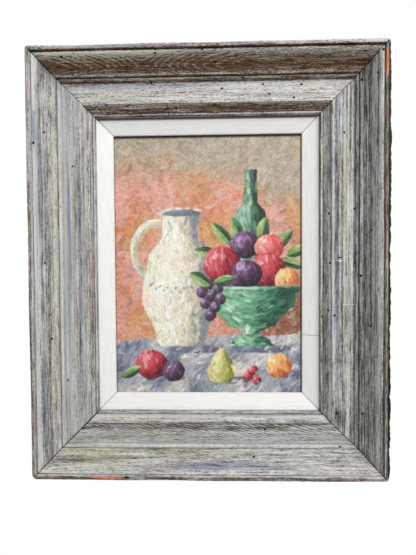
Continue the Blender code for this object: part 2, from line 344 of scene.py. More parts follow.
@dataclass(frozen=True)
class LimedOak:
    """Weathered oak with white and tinted pigment rubbed in and mostly wiped off.

    The eye reads it as chalky streaks and flecks that run with the grain, with bare grey or
    umber wood between them, short dark pores, and strips that are faintly blue, olive or rose.
    Real fibres and pores are 0.2 to 0.4 mm wide: both are drawn coarser, so that they show.
    """

    grey_dark: str = "#34332f"
    grey_pale: str = "#7b7a74"
    umber_dark: str = "#301f14"
    umber_pale: str = "#7f5d3e"
    limed: str = "#dddedc"
    slate: str = "#8492b0"
    olive: str = "#bfc09a"
    rose: str = "#ab9791"
    rust: str = "#723e2e"
    bare: str = "#c26a41"
    bare_pale: str = "#dd9a6c"
    dirt_and_shade: str = "#15110e"
    fibre: Triple = (26 * MM, 1.7 * MM, 1.0)
    fleck: Triple = (5.0 * MM, 1.7 * MM, 1.0)
    mottle: Triple = (30 * MM, 8 * MM, 1.0)
    pore: Triple = (6.5 * MM, 1.2 * MM, 1.0)
    pore_range: Pair = (0.60, 0.70)
    pored_range: Pair = (0.42, 0.60)
    cover_range: Pair = (0.10, 0.95)
    wood_range: Pair = (0.3, 0.7)
    wood_rough: float = 0.64
    limed_rough: float = 0.80
    relief: float = 0.35 * MM

    def build(self) -> bpy.types.Material:
        """Makes the material, which reads the rail's own attributes."""
        finish = Finish("limed_oak")
        laid = finish.fact("laid", "Vector")
        fibre = finish.noise(laid, self.fibre, 3.0, 0.6)
        fleck = finish.noise(laid, self.fleck, 2.0, 0.7)
        mottle = finish.noise(laid, self.mottle, 3.0, 0.6)
        pore = finish.ramp(finish.noise(laid, self.pore, 1.0, 0.5), *self.pore_range)
        pore = finish.sum("MULTIPLY", pore, finish.ramp(mottle, *self.pored_range))
        speck = finish.fact("speck")
        streak = finish.sum("ADD", finish.swing(fibre, 1.0), finish.swing(mottle, 0.35))
        level = finish.sum("ADD", finish.fact("wash"), streak)
        level = finish.sum("MULTIPLY_ADD", finish.swing(fleck, 1.5), speck, level)
        cover = finish.ramp(level, *self.cover_range)
        wood_share = finish.ramp(fibre, *self.wood_range)
        grey = finish.mix(wood_share, self.grey_dark, self.grey_pale)
        umber = finish.mix(wood_share, self.umber_dark, self.umber_pale)
        wood = finish.mix(finish.fact("umber"), grey, umber)
        wood = finish.mix(finish.fact("rust"), wood, self.rust)
        tints = finish.add("SeparateXYZ", {0: finish.fact("tints", "Vector")}).outputs
        pigment = finish.mix(tints[0], self.limed, self.slate)
        pigment = finish.mix(tints[1], pigment, self.olive)
        pigment = finish.mix(tints[2], pigment, self.rose)
        colour = finish.mix(cover, wood, pigment)
        shade = finish.sum("MULTIPLY", pore, finish.sum("MULTIPLY", speck, 0.85))
        colour = finish.mix(shade, colour, self.grey_dark)
        raw = finish.mix(wood_share, self.bare, self.bare_pale)
        colour = finish.mix(finish.fact("bare"), colour, raw)
        # Darkens with dirt, and with painted shade in the grooves, at the sight edge and along the outer
        # edge
        colour = finish.mix(finish.fact("grime_and_shade"), colour, self.dirt_and_shade)
        height = finish.sum("MULTIPLY_ADD", fleck, 0.5, finish.sum("MULTIPLY", fibre, 0.5))
        height = finish.sum("SUBTRACT", height, finish.sum("MULTIPLY", pore, 0.5))
        chalk = finish.ramp(cover, 0.0, 1.0, self.limed_rough - self.wood_rough)
        rough = finish.sum("ADD", chalk, self.wood_rough)
        return finish.surface(colour, rough, height, self.relief, Specular_IOR_Level=0.28)


@dataclass(frozen=True)
class PaintedLiner:
    """Matt white emulsion brushed on planed wood: chalky, with the grain just showing through."""

    paint: str = "#f1f1ef"
    shade: str = "#dddbd7"
    dirt_and_shade: str = "#50463d"
    brush: Triple = (34 * MM, 1.1 * MM, 1.0)
    smudge: Triple = (22 * MM, 9 * MM, 1.0)
    relief: float = 0.10 * MM

    def build(self) -> bpy.types.Material:
        """Makes the material, which reads the liner's own attributes."""
        finish = Finish("painted_liner_wood")
        laid = finish.fact("laid", "Vector")
        brush = finish.noise(laid, self.brush, 2.0, 0.6)
        smudge = finish.noise(laid, self.smudge, 3.0, 0.6)
        colour = finish.mix(finish.ramp(brush, 0.35, 0.75, 0.55), self.paint, self.shade)
        colour = finish.mix(finish.ramp(smudge, 0.5, 0.8, 0.35), colour, self.shade)
        # Darkens with dirt at the mitres and in the crack, and with painted shadow and dirt in a band
        # under the top rail
        colour = finish.mix(finish.fact("grime_and_shade"), colour, self.dirt_and_shade)
        rough = finish.sum("ADD", finish.ramp(smudge, 0.3, 0.7, 0.12), 0.6)
        return finish.surface(colour, rough, brush, self.relief, Specular_IOR_Level=0.3)


@dataclass(frozen=True)
class OilPaint:
    """Thick oil colour brushed on: satin, combed by the bristles, over the canvas weave, lighter on its
    ridges as painted highlight and darker in its valleys as painted shade with dirt.

    Real bristle marks and threads are about 0.5 mm apart: both are drawn coarser, to show.
    """

    bristle: Triple = (18 * MM, 1.9 * MM, 1.0)
    grain: Triple = (2.6 * MM,) * 3
    thread: float = 1.3 * MM
    thin: Pair = (0.45 * MM, 0.05 * MM)
    light: str = "#f4ead8"
    dark: str = "#2a201c"
    relief: float = 0.70 * MM

    def build(self) -> bpy.types.Material:
        """Makes the material, which reads the paint film's own attributes."""
        finish = Finish("oil_paint")
        marks = finish.noise(finish.fact("combed", "Vector"), self.bristle, 2.0, 0.6)
        marks = finish.sum("SUBTRACT", marks, 0.5)
        marks = finish.sum("MULTIPLY", marks, finish.fact("running"))
        combed = finish.sum("ADD", marks, 0.5)
        place = finish.add("TexCoord").outputs["Object"]
        grain = finish.noise(place, self.grain, 2.0, 0.6)
        hue = finish.fact("hue", "Vector")
        # Colour follows the bump: lighter on the bristle ridges as painted highlight, darker in the
        # valleys and the grain's hollows as painted shade with dirt
        lit = finish.mix(finish.ramp(combed, 0.35, 0.8, 0.40), hue, self.light, "SOFT_LIGHT")
        colour = finish.mix(finish.ramp(combed, 0.62, 0.25, 0.45), lit, self.dark, "SOFT_LIGHT")
        colour = finish.mix(finish.ramp(grain, 0.55, 0.30, 0.22), colour, self.dark, "SOFT_LIGHT")
        threads = finish.weave(place, 1 / (self.thread * math.pi), "Z")
        weave = finish.sum("MULTIPLY", threads, 0.25)
        thin = finish.ramp(finish.fact("load"), *self.thin)
        weave = finish.sum("MULTIPLY", weave, thin)
        height = finish.sum("ADD", finish.sum("MULTIPLY", combed, 0.8), weave)
        height = finish.sum("ADD", height, finish.sum("MULTIPLY", grain, 0.45))
        # Painted highlight and shade on the relief: brighter where the grain and the bristle marks stand
        # high
        value = finish.sum("ADD", finish.swing(grain, 0.60), finish.swing(combed, 0.65))
        scale = {0: colour, 3: finish.sum("ADD", value, 1.0)}
        colour = finish.add("VectorMath", scale, operation="SCALE").outputs[0]
        rough = finish.sum("ADD", finish.ramp(grain, 0.3, 0.7, 0.15), 0.40)
        return finish.surface(colour, rough, height, self.relief, Specular_IOR_Level=0.45)


@dataclass(frozen=True)
class Linen:
    """Raw linen canvas, plain weave, browned with age. Threads are drawn at 1.1 mm to show."""

    thread: float = 1.1 * MM
    stray: float = 0.6
    pale: str = "#b8a27c"
    deep: str = "#7d6747"
    stain: str = "#8d7450"
    slub: Triple = (9 * MM, 9 * MM, 1.0)
    relief: float = 0.25 * MM

    def build(self) -> bpy.types.Material:
        """Makes the material on the cloth's own map, in metres along both threads."""
        finish = Finish("linen_canvas")
        laid = finish.fact("laid", "Vector")
        threads = finish.weave(laid, math.pi / (self.thread * 20), "Y", self.stray)
        weave = finish.sum("MULTIPLY", threads, 0.5)
        slub = finish.noise(laid, self.slub, 3.0, 0.6)
        colour = finish.mix(finish.ramp(weave, 0.2, 0.8), self.deep, self.pale)
        colour = finish.mix(finish.ramp(slub, 0.4, 0.75, 0.5), colour, self.stain)
        return finish.surface(colour, 0.9, weave, self.relief, Specular_IOR_Level=0.15)


@dataclass(frozen=True)
class BarePine:
    """Planed pine, bare and darkened by age: orange-brown late wood lines on a pale ground."""

    pale: str = "#c79a63"
    deep: str = "#8f5f33"
    dark: str = "#6e4a2b"
    dirt_and_shade: str = "#2a1d13"
    ring: Triple = (190 * MM, 3.4 * MM, 1.0)
    fibre: Triple = (30 * MM, 0.8 * MM, 1.0)

    def build(self) -> bpy.types.Material:
        """Makes the material, which reads the bar's own attributes."""
        finish = Finish("bare_pine")
        laid = finish.fact("laid", "Vector")
        ring = finish.ramp(finish.noise(laid, self.ring, 2.0, 0.5), 0.35, 0.70)
        fibre = finish.noise(laid, self.fibre, 2.0, 0.6)
        colour = finish.mix(ring, self.pale, self.deep)
        colour = finish.mix(finish.ramp(fibre, 0.5, 0.8, 0.35), colour, self.dark)
        colour = finish.mix(finish.fact("grime_and_shade"), colour, self.dirt_and_shade)
        return finish.surface(colour, 0.72, fibre, 0.08 * MM, Specular_IOR_Level=0.3)


@dataclass(frozen=True)
class DrawnSteel:
    """Drawn steel wire, cut to brads: dull and grey, with a brownish bloom of old rust."""

    steel: str = "#8d8a86"
    bloom: str = "#6a4a36"

    def build(self) -> bpy.types.Material:
        """Makes the material on the brads' object coordinates."""
        finish = Finish("drawn_steel")
        place = finish.add("TexCoord").outputs["Object"]
        spot = finish.noise(place, (1.1 * MM,) * 3, 3.0, 0.6)
        rusty = finish.ramp(spot, 0.45, 0.7, 0.8)
        colour = finish.mix(rusty, self.steel, self.bloom)
        rough = finish.sum("ADD", finish.ramp(spot, 0.3, 0.7, 0.3), 0.35)
        return finish.surface(colour, rough, spot, 0.03 * MM, Metallic=1.0)


@dataclass(frozen=True)
class StudioFloor:
    """Pale painted studio floor: matt and nearly even."""

    paint: str = "#e9e8e5"
    pale: str = "#f2f1ee"
    cloud: Triple = (0.4, 0.4, 0.4)

    def build(self) -> bpy.types.Material:
        """Makes the material on object coordinates."""
        finish = Finish("studio_floor")
        place = finish.add("TexCoord").outputs["Object"]
        cloud = finish.noise(place, self.cloud, 2.0, 0.5)
        colour = finish.mix(cloud, self.paint, self.pale)
        return finish.surface(colour, 0.85, None, 0.0, Specular_IOR_Level=0.2)


def give_attribute(mesh: bpy.types.Mesh, name: str, values: Array) -> None:
    """Stores a number or a vector at every point of a mesh.

    Args:
        mesh: The mesh.
        name: The attribute's name, which its material reads.
        values: One number, or one row of three, to a point.
    """
    kind, key = ("FLOAT", "value") if values.ndim == 1 else ("FLOAT_VECTOR", "vector")
    layer = mesh.attributes.new(name, kind, "POINT")
    layer.data.foreach_set(key, np.ascontiguousarray(values, dtype=np.float32).ravel())


def rim_of(shape: bmesh.types.BMesh) -> list[bmesh.types.BMEdge]:
    """The edges round a shape's openings."""
    return [edge for edge in shape.edges if edge.is_boundary]


def new_mesh(name: str, shape: bmesh.types.BMesh) -> bpy.types.Mesh:
    """Turns a shape to a mesh and frees it."""
    mesh = bpy.data.meshes.new(name)
    shape.to_mesh(mesh)
    shape.free()
    return mesh


def reopened(mesh: bpy.types.Mesh, points: Array, facts: dict[str, Array]) -> bmesh.types.BMesh:
    """Moves a mesh's points and opens it again as a shape.

    Args:
        mesh: The mesh.
        points: Where its points go, one to a row.
        facts: Attributes to keep on the points.

    Returns:
        The shape, to be closed.
    """
    mesh.vertices.foreach_set("co", points.astype(np.float32).ravel())
    for fact, values in facts.items():
        give_attribute(mesh, fact, values)
    shape = bmesh.new()
    shape.from_mesh(mesh)
    return shape


def close(shape: bmesh.types.BMesh, mesh: bpy.types.Mesh) -> None:
    """Fills a shape's openings, turns its faces outwards and puts it back in its mesh."""
    caps = bmesh.ops.holes_fill(shape, edges=rim_of(shape), sides=0)["faces"]
    bmesh.ops.triangulate(shape, faces=caps)
    bmesh.ops.recalc_face_normals(shape, faces=shape.faces)
    shape.to_mesh(mesh)
    shape.free()


def make_object(name: str, mesh: bpy.types.Mesh, material: bpy.types.Material) -> Piece:
    """Links a smooth-shaded mesh into the scene with its material."""
    mesh.shade_smooth()
    mesh.materials.append(material)
    made = bpy.data.objects.new(name, mesh)
    bpy.context.scene.collection.objects.link(made)
    return made


def report(made: Piece) -> None:
    """Logs a finished piece and its count of triangles."""
    triangles = sum(len(face.vertices) - 2 for face in made.data.polygons)
    log.info("%s: %d triangles", made.name, triangles)


@dataclass(frozen=True)
class Stretch:
    """A stretch of a moulding's section, and how finely the mesh follows it."""

    points: Array
    spacing: float

    def columns(self) -> Array:
        """Evenly spaced points on the stretch, without its last one."""
        steps = np.hypot(*np.diff(self.points, axis=0).T)
        reached = np.concatenate([[0], np.cumsum(steps)])
        count = max(1, math.ceil(reached[-1] / self.spacing))
        at = np.linspace(0, reached[-1], count, endpoint=False)
        inward = np.interp(at, reached, self.points[:, 0])
        depth = np.interp(at, reached, self.points[:, 1])
        return np.column_stack([inward, depth])


class Section:
    """The closed outline round a moulding, as the columns of its mesh."""

    def __init__(self, stretches: list[Stretch]) -> None:
        """Joins the stretches round the outline.

        Args:
            stretches: In order round the section, with the material on the right hand.
        """
        columns = np.concatenate([stretch.columns() for stretch in stretches])
        closed = np.vstack([columns, columns[:1]])
        steps = np.diff(closed, axis=0)
        lengths = np.hypot(*steps.T)
        self.inward, self.depth = closed.T
        self.around = np.concatenate([[0], np.cumsum(lengths)])
        outwards = np.column_stack([-steps[:, 1], steps[:, 0]]) / lengths[:, None]
        before = np.vstack([outwards[-1:], outwards])
        after = np.vstack([outwards, outwards[:1]])
        normals = before + after
        self.normal = normals / np.hypot(*normals.T)[:, None]

    @property
    def count(self) -> int:
        """How many strips of faces go round the section."""
        return len(self.around) - 1

    def around_at(self, inward: float) -> float:
        """Where the face crosses a distance in from the outer edge, measured round it."""
        facing = np.flatnonzero(self.normal[:, 1] > 0.05)
        order = facing[np.argsort(self.inward[facing])]
        return float(np.interp(inward, self.inward[order], self.around[order]))


def arc(centre: Pair, radii: Pair, start: float, end: float, count: int = 12) -> Array:
    """Points on an ellipse.

    Args:
        centre: Its centre.
        radii: Its radii across and up.
        start: First angle, in degrees.
        end: Last angle, in degrees.
        count: How many chords.

    Returns:
        Points, one to a row.
    """
    angles = np.radians(np.linspace(start, end, count + 1))
    across = centre[0] + radii[0] * np.cos(angles)
    up = centre[1] + radii[1] * np.sin(angles)
    return np.column_stack([across, up])


def legs(points: list, spacing: float) -> list[Stretch]:
    """Straight stretches from each point to the next."""
    return [Stretch(np.array(pair), spacing) for pair in zip(points, points[1:])]


@dataclass(frozen=True)
class FrameMoulding:
    """The frame's wide moulding: the widths and heights of its members, as the solids have."""

    lip_width: float = 5.8 * MM
    lip_round: float = 2.2 * MM
    lip_rise: float = 2.8 * MM
    lip_slope: float = 1.2 * MM
    quirk_width: float = 2.4 * MM
    quirk_depth: float = 2.4 * MM
    cove_width: float = 22.3 * MM
    cove_fall: float = 31.0 * MM
    shoulder_pull: Pair = (0.42, 0.02)
    hollow_pull: Pair = (0.30, 0.74)
    bead_quirk_width: float = 1.4 * MM
    bead_quirk_depth: float = 2.0 * MM
    bead_width: float = 4.2 * MM
    bead_crown: float = 1.1 * MM
    bead_height: float = 3.6 * MM
    step_width: float = 3.2 * MM
    step_slope: float = 0.3 * MM
    step_depth: float = 1.5 * MM
    band_width: float = 33.4 * MM
    band_rise: float = 8.5 * MM
    band_swell: float = 0.7 * MM
    scoop_width: float = 10.2 * MM
    scoop_fall: float = 10.5 * MM
    sight_quirk_width: float = 0.8 * MM
    sight_quirk_depth: float = 2.4 * MM
    sight_bead_crown: float = 1.6 * MM
    outer_wall: float = 28.5 * MM
    rear_land: float = 44.0 * MM
    rebate_width: float = 6.5 * MM
    fine: float = 0.82 * MM
    coarse: float = 6.0 * MM

    @property
    def shoulder(self) -> float:
        """Depth off the wall of the cove's top."""
        return FRAME_DEPTH - self.lip_rise

    @property
    def bead_top(self) -> float:
        """Depth off the wall of the bead at the cove's foot."""
        return self.shoulder - self.cove_fall

    def starts(self) -> Array:
        """Where the members start, in from the outer edge, from the groove to the sight quirk."""
        widths = (self.lip_width, self.quirk_width, self.cove_width, self.bead_quirk_width)
        widths += (self.bead_width, self.step_width, self.band_width, self.scoop_width)
        return np.cumsum(widths)

    def cove(self) -> Array:
        """The cove's S curve, shoulder first."""
        t = np.linspace(0, 1, 40)
        shoulder_share = 3 * t * (1 - t) ** 2
        hollow_share = 3 * t * t * (1 - t)
        across = shoulder_share * self.shoulder_pull[0] + hollow_share * self.hollow_pull[0]
        down = shoulder_share * self.shoulder_pull[1] + hollow_share * self.hollow_pull[1]
        inward = self.lip_width + self.quirk_width + self.cove_width * (across + t**3)
        depth = self.shoulder - self.cove_fall * (down + t**3)
        return np.column_stack([inward, depth])

    def section(self) -> Section:
        """The whole outline, coarse behind and fine over the face."""
        fine = self.fine
        bead_at, step_at, band_at, _, sight_quirk_at = self.starts()[3:]
        step_floor = self.bead_top - self.bead_height
        band_start = step_floor + self.step_depth
        band_top = band_start + self.band_rise
        scoop_foot = band_top - self.scoop_fall
        sight_bead_at = sight_quirk_at + self.sight_quirk_width
        sight_bead_half = (RAIL_WIDTH - sight_bead_at) / 2
        sight_top = scoop_foot + self.sight_quirk_depth
        ledge = LINER_FRONT + GAP
        rebate_at = RAIL_WIDTH - self.rebate_width
        t = np.linspace(0, 1, 20)
        swell = self.band_swell * np.sin(math.pi * t)
        band_depth = band_start + self.band_rise * t + swell
        band = np.column_stack([band_at + self.band_width * t, band_depth])
        lip = arc((self.lip_round, FRAME_DEPTH - self.lip_round), (self.lip_round,) * 2, 180, 90)
        lip_edge = np.array([self.lip_width, FRAME_DEPTH - self.lip_slope])
        quirk = [self.lip_width + self.quirk_width / 2, self.shoulder - self.quirk_depth]
        bead_quirk_at = bead_at - self.bead_quirk_width / 2
        bead_quirk = [bead_quirk_at, self.bead_top - self.bead_quirk_depth]
        bead_middle = (bead_at + self.bead_width / 2, self.bead_top - self.bead_crown)
        bead = arc(bead_middle, (self.bead_width / 2, self.bead_crown), 180, 0)
        step_start = [step_at + self.step_slope, step_floor]
        step_end = [band_at - self.step_slope, step_floor]
        scoop_radii = (self.scoop_width, self.scoop_fall)
        scoop = arc((sight_quirk_at, band_top), scoop_radii, 180, 270)
        sight_middle = (sight_bead_at + sight_bead_half, sight_top - self.sight_bead_crown)
        sight_bead = arc(sight_middle, (sight_bead_half, self.sight_bead_crown), 180, 0)
        cove = self.cove()
        back = [
            [rebate_at, ledge],
            [rebate_at, 0],
            [rebate_at - self.rear_land, 0],
            [0, FRAME_DEPTH - self.outer_wall],
            lip[0],
        ]
        stretches = legs(back, self.coarse)
        stretches += [Stretch(np.vstack([lip, lip_edge]), fine)]
        stretches += legs([lip_edge, quirk, cove[0]], fine)
        stretches += [Stretch(cove, fine * 1.1)]
        stretches += legs([cove[-1], bead_quirk, bead[0]], fine)
        stretches += [Stretch(bead, fine)]
        stretches += legs([bead[-1], step_start, step_end, band[0]], fine)
        stretches += [Stretch(band, fine * 1.15), Stretch(scoop, fine)]
        stretches += legs([scoop[-1], sight_bead[0]], fine)
        stretches += [Stretch(sight_bead, fine)]
        stretches += legs([sight_bead[-1], [RAIL_WIDTH, ledge], [rebate_at, ledge]], fine * 2)
        return Section(stretches)


@dataclass(frozen=True)
class Wrapped:
    """The points of a swept mesh: where each is on the moulding, and which way it faces."""

    along: Array
    inward: Array
    depth: Array
    around: Array
    lean_in: Array
    lean_out: Array
    end_gap: Array

    @property
    def facing(self) -> Array:
        """1 on the moulding's face, and 0 behind and under it."""
        return smooth_step(self.lean_out, 0.0, 0.2) * (self.depth > LINER_FRONT)

    @property
    def behind(self) -> Array:
        """1 where the moulding faces back to the wall, and 0 elsewhere."""
        return smooth_step(self.lean_out, 0.05, -0.05)

    def cells(self, along: float, around: float, shift: float = 0.0) -> tuple[Array, Array]:
        """The points' places in cells of a noise, whose sizes are in millimetres."""
        return self.along / (along * MM) + shift, self.around / (around * MM)

    def laid(self, apart: float) -> Array:
        """Coordinates that follow the grain, each length's set apart from the others'."""
        return np.column_stack([self.along, self.around, np.full_like(self.along, apart)])


@dataclass
class SweptMesh:
    """A flat grid wrapped round a section and stretched between two mitres.

    Its columns go round the section and its rows along the side. While it is flat, the faces
    near small marks are divided, so that a worm hole or a split is cut with enough points.
    """

    section: Section
    side: Side
    half: Pair
    row_spacing: float
    end_steps: tuple[float, ...] = (0.35 * MM, 0.9 * MM)
    opened: Pair = (0.0, 0.0)
    weld: float = 0.002 * MM

    @property
    def out(self) -> float:
        """How far the side's outer edge is from the picture's centre."""
        return self.half[0] if self.side.upright else self.half[1]

    @property
    def longest(self) -> float:
        """Half the length of the side's outer edge."""
        return self.half[1] if self.side.upright else self.half[0]

    def reach(self, inward: Array, end: Array) -> Array:
        """How far the length reaches from its middle, at a distance in from its outer edge."""
        opening = np.where(end > 0, self.opened[1], self.opened[0])
        inner_share = smooth_step(inward, 0.25 * RAIL_WIDTH, 0.6 * RAIL_WIDTH)
        return self.longest - inward - MITRE_GAP - inner_share * opening

    def flat_rows(self) -> Array:
        """Where the rows are, as shares of the reach, closer together at the mitres."""
        ends = [1 - step / self.longest for step in self.end_steps]
        inner = 1 - 2.2 * self.end_steps[-1] / self.longest
        count = math.ceil(2 * self.longest * inner / self.row_spacing)
        middle = np.linspace(-inner, inner, count + 1)
        return np.concatenate([[-1], [-e for e in ends], middle, ends[::-1], [1]])

    def wrap(self, column: Array, row: Array, rows: Array) -> Wrapped:
        """Turns flat places into places on the moulding."""
        section = self.section
        at = np.arange(section.count + 1)
        inward = np.interp(column, at, section.inward)
        share = np.interp(row, np.arange(len(rows)), rows)
        reach = self.reach(inward, np.sign(share))
        return Wrapped(
            along=share * reach,
            inward=inward,
            depth=np.interp(column, at, section.depth),
            around=np.interp(column, at, section.around),
            lean_in=np.interp(column, at, section.normal[:, 0]),
            lean_out=np.interp(column, at, section.normal[:, 1]),
            end_gap=(1 - np.abs(share)) * reach,
        )

    def build(self, marks: Array) -> tuple[bmesh.types.BMesh, Wrapped]:
        """Makes the wrapped mesh.

        Args:
            marks: Rows of place along, place round the section, and radius to be divided.

        Returns:
            The mesh, not yet closed, and where its points are on the moulding.
        """
        rows = self.flat_rows()
        shape = bmesh.new()
        segments = (self.section.count, len(rows) - 1)
        bmesh.ops.create_grid(shape, x_segments=segments[0], y_segments=segments[1], size=1)
        at = self.wrap(*self.flat_places(shape, segments), rows)
        close = np.zeros(len(at.along), bool)
        for along, around, radius in marks:
            close |= np.hypot(at.along - along, at.around - around) < radius
        if close.any():
            shape.verts.index_update()
            near = [e for e in shape.edges if all(close[v.index] for v in e.verts)]
            bmesh.ops.subdivide_edges(shape, edges=near, cuts=2, use_grid_fill=True)
            at = self.wrap(*self.flat_places(shape, segments), rows)
        return shape, at

    @staticmethod
    def flat_places(shape: bmesh.types.BMesh, segments: tuple[int, int]) -> tuple[Array, Array]:
        """Columns and rows of the flat grid's points, as numbers with fractions."""
        flat = np.array([vertex.co for vertex in shape.verts])
        return (flat[:, 0] + 1) / 2 * segments[0], (flat[:, 1] + 1) / 2 * segments[1]

    def place(self, at: Wrapped, lift: Array) -> Array:
        """Puts the points in the part's frame, lifted off the plain moulding."""
        inward = at.inward + at.lean_in * lift
        return self.side.place(at.along, self.out - inward, at.depth + at.lean_out * lift)

    def finish(
        self,
        name: str,
        shape: bmesh.types.BMesh,
        points: Array,
        facts: dict[str, Array],
        material: bpy.types.Material,
    ) -> Piece:
        """Closes a wrapped mesh into a solid object.

        Args:
            name: The piece's name.
            shape: The wrapped mesh.
            points: Where its points go.
            facts: Attributes to keep on the points.
            material: The piece's finish.

        Returns:
            The object, in the scene.
        """
        mesh = new_mesh(name, shape)
        closed = reopened(mesh, points, facts)
        bmesh.ops.remove_doubles(closed, verts=closed.verts, dist=self.weld)
        close(closed, mesh)
        return make_object(name, mesh, material)


@dataclass(frozen=True)
class WormHole:
    """A beetle's exit hole: how far along the rail and in from its edge, in millimetres."""

    along: float
    inward: float
    radius: float = 1.45
    depth: float = 3.4


@dataclass(frozen=True)
class Slit:
    """A narrow cut or split across the face, in millimetres; a pale one is a fresh scratch."""

    start: Pair
    end: Pair
    width: float = 0.8
    depth: float = 1.2
    pale: bool = False


class Tint(Enum):
    """The colours that the pigment takes in places, by their order in the attribute."""

    SLATE = 0
    OLIVE = 1
    ROSE = 2


SLATE, OLIVE, ROSE = Tint


def rows(kind: type, *places: tuple) -> tuple:
    """Makes a mark of one kind from each row of its fields, in their order."""
    return tuple(kind(*place) for place in places)


@dataclass(frozen=True)
class Patch:
    """A strip or patch where the pigment lies differently, in millimetres from the middle.

    Share is how much of its tint it takes, and wash how much more pigment there is.
    """

    along: float
    inward: float
    half_length: float
    half_width: float
    tint: Tint = Tint.OLIVE
    share: float = 0.0
    wash: float = 0.0
    lean: float = 0.0


@dataclass(frozen=True)
class Line:
    """A narrow line along a whole rail, in millimetres: a pale worn edge, or a dark groove or edge,
    darkened by dirt with painted shade.
    """

    inward: float
    half_width: float
    wash: float = 0.0
    grime_and_shade: float = 0.0


@dataclass(frozen=True)
class Chip:
    """A worn place on the outer lip, where the colour underneath shows, in millimetres."""

    along: float
    inward: float
    half_length: float
    half_width: float
    depth: float = 0.5
    bare: float = 0.0
    grime_and_shade: float = 0.0
    rust: float = 0.0


@dataclass(frozen=True)
class Grain:
    """Growth rings that run straight along a rail, in millimetres.

    Held is how much more pigment their lines hold than the wood between, or less, below 0.
    """

    ring: float = 2.5
    held: float = -0.14
    sharp: float = 1.5

    def rings(self, at: Wrapped, rough: Speckle) -> Array:
        """Counts the rings at each point, with their fractions."""
        return (at.around / MM + self.bend(at, rough)) / self.ring

    def bend(self, at: Wrapped, rough: Speckle) -> Array:
        """How far the rings stray from straight lines, in millimetres."""
        broad = rough.layered(*at.cells(95, 22), 2)
        return 1.6 * broad + 0.7 * rough.at(*at.cells(24, 7))

    def late(self, at: Wrapped, rough: Speckle) -> Array:
        """How far each point is into a ring's dense late wood, from 0 to 1."""
        return (0.5 + 0.5 * np.cos(2 * math.pi * self.rings(at, rough))) ** self.sharp

    def strength(self, at: Wrapped) -> Array:
        """How plainly the ring lines show at each point."""
        return np.ones_like(at.along)


@dataclass(frozen=True)
class ArchedGrain(Grain):
    """Rings that show in the cove as two sets of nested arches, back to back at a heart.

    Slope is how much longer the cove's face is than its width, point the power with which the
    arches widen, and blunt how round their tips are.
    """

    heart: Pair = (0.0, 20.0)
    width: float = 5.2
    pitch: float = 9.5
    reach: float = 120.0
    cove: Pair = (8.4, 31.0)
    slope: float = 1.25
    point: float = 1.5
    blunt: float = 7.0

    def rings(self, at: Wrapped, rough: Speckle) -> Array:
        """Counts the rings: arches in the cove, and straight lines elsewhere."""
        across = (at.inward / MM - self.heart[1]) * self.slope + self.bend(at, rough)
        run = np.hypot(at.along / MM - self.heart[0], self.blunt)
        arched = np.abs(across / self.width) ** self.point
        arched = arched - self.reach / self.pitch * np.tanh(run / self.reach)
        inside = (at.inward > self.cove[0] * MM) & (at.inward < self.cove[1] * MM)
        return np.where(inside, arched, super().rings(at, rough))

    def strength(self, at: Wrapped) -> Array:
        """Plain in the cove round the heart, and faint elsewhere."""
        inward = at.inward / MM
        inside = smooth_step(inward, self.cove[0], self.cove[0] + 3)
        inside = inside * smooth_step(inward, self.cove[1], self.cove[1] - 1)
        run = np.abs(at.along / MM - self.heart[0])
        return 0.15 + 0.85 * inside * smooth_step(run, 1.5 * self.reach, self.reach)


@dataclass(frozen=True)
class SlantedGrain(Grain):
    """Rings that run out through the face, as short slanting lines that flatten outwards."""

    pitch: float = 13.0
    run: float = 118.0
    band: Pair = (40.4, 71.5)
    cove: Pair = (9.0, 31.0)

    def rings(self, at: Wrapped, rough: Speckle) -> Array:
        """Counts the rings: slanting over the band and the cove."""
        inward = at.inward / MM
        band_share, cove_share = (
            np.clip((inward - low) / (high - low), 0, 1) for low, high in (self.band, self.cove)
        )
        on_band = inward > self.band[0] - 1.5
        share = np.where(on_band, band_share, cove_share)
        run = np.where(on_band, self.run, 1.5 * self.run)
        bend = 2.2 * self.bend(at, rough)
        return (run * share**0.8 - at.along / MM + bend) / self.pitch

    def strength(self, at: Wrapped) -> Array:
        """Plain on the band, a third as plain in the cove, and faint elsewhere."""
        inward = at.inward / MM
        band = smooth_step(inward, self.band[0] + 2, self.band[0] + 8)
        band = band * smooth_step(inward, self.band[1] + 1, self.band[1] - 1)
        cove = smooth_step(inward, self.cove[0] + 3, self.cove[0] + 8)
        cove = cove * smooth_step(inward, self.cove[1], self.cove[1] - 2)
        return 0.1 + 0.9 * band + 0.30 * cove


# Where the members' middles are, in millimetres in from the outer edge: the lip twice, groove,
# shoulder, cove twice, foot, quirk, bead, step, band three times, arris, scoop twice, quirk, bead
MEMBER_MIDDLES = (
    1.5, 4.2, 7.0, 10.5, 15.0, 21.0, 27.0, 31.2, 34.0,
    37.7, 45.0, 56.0, 66.0, 71.8, 76.5, 81.0, 83.2, 86.0,
)


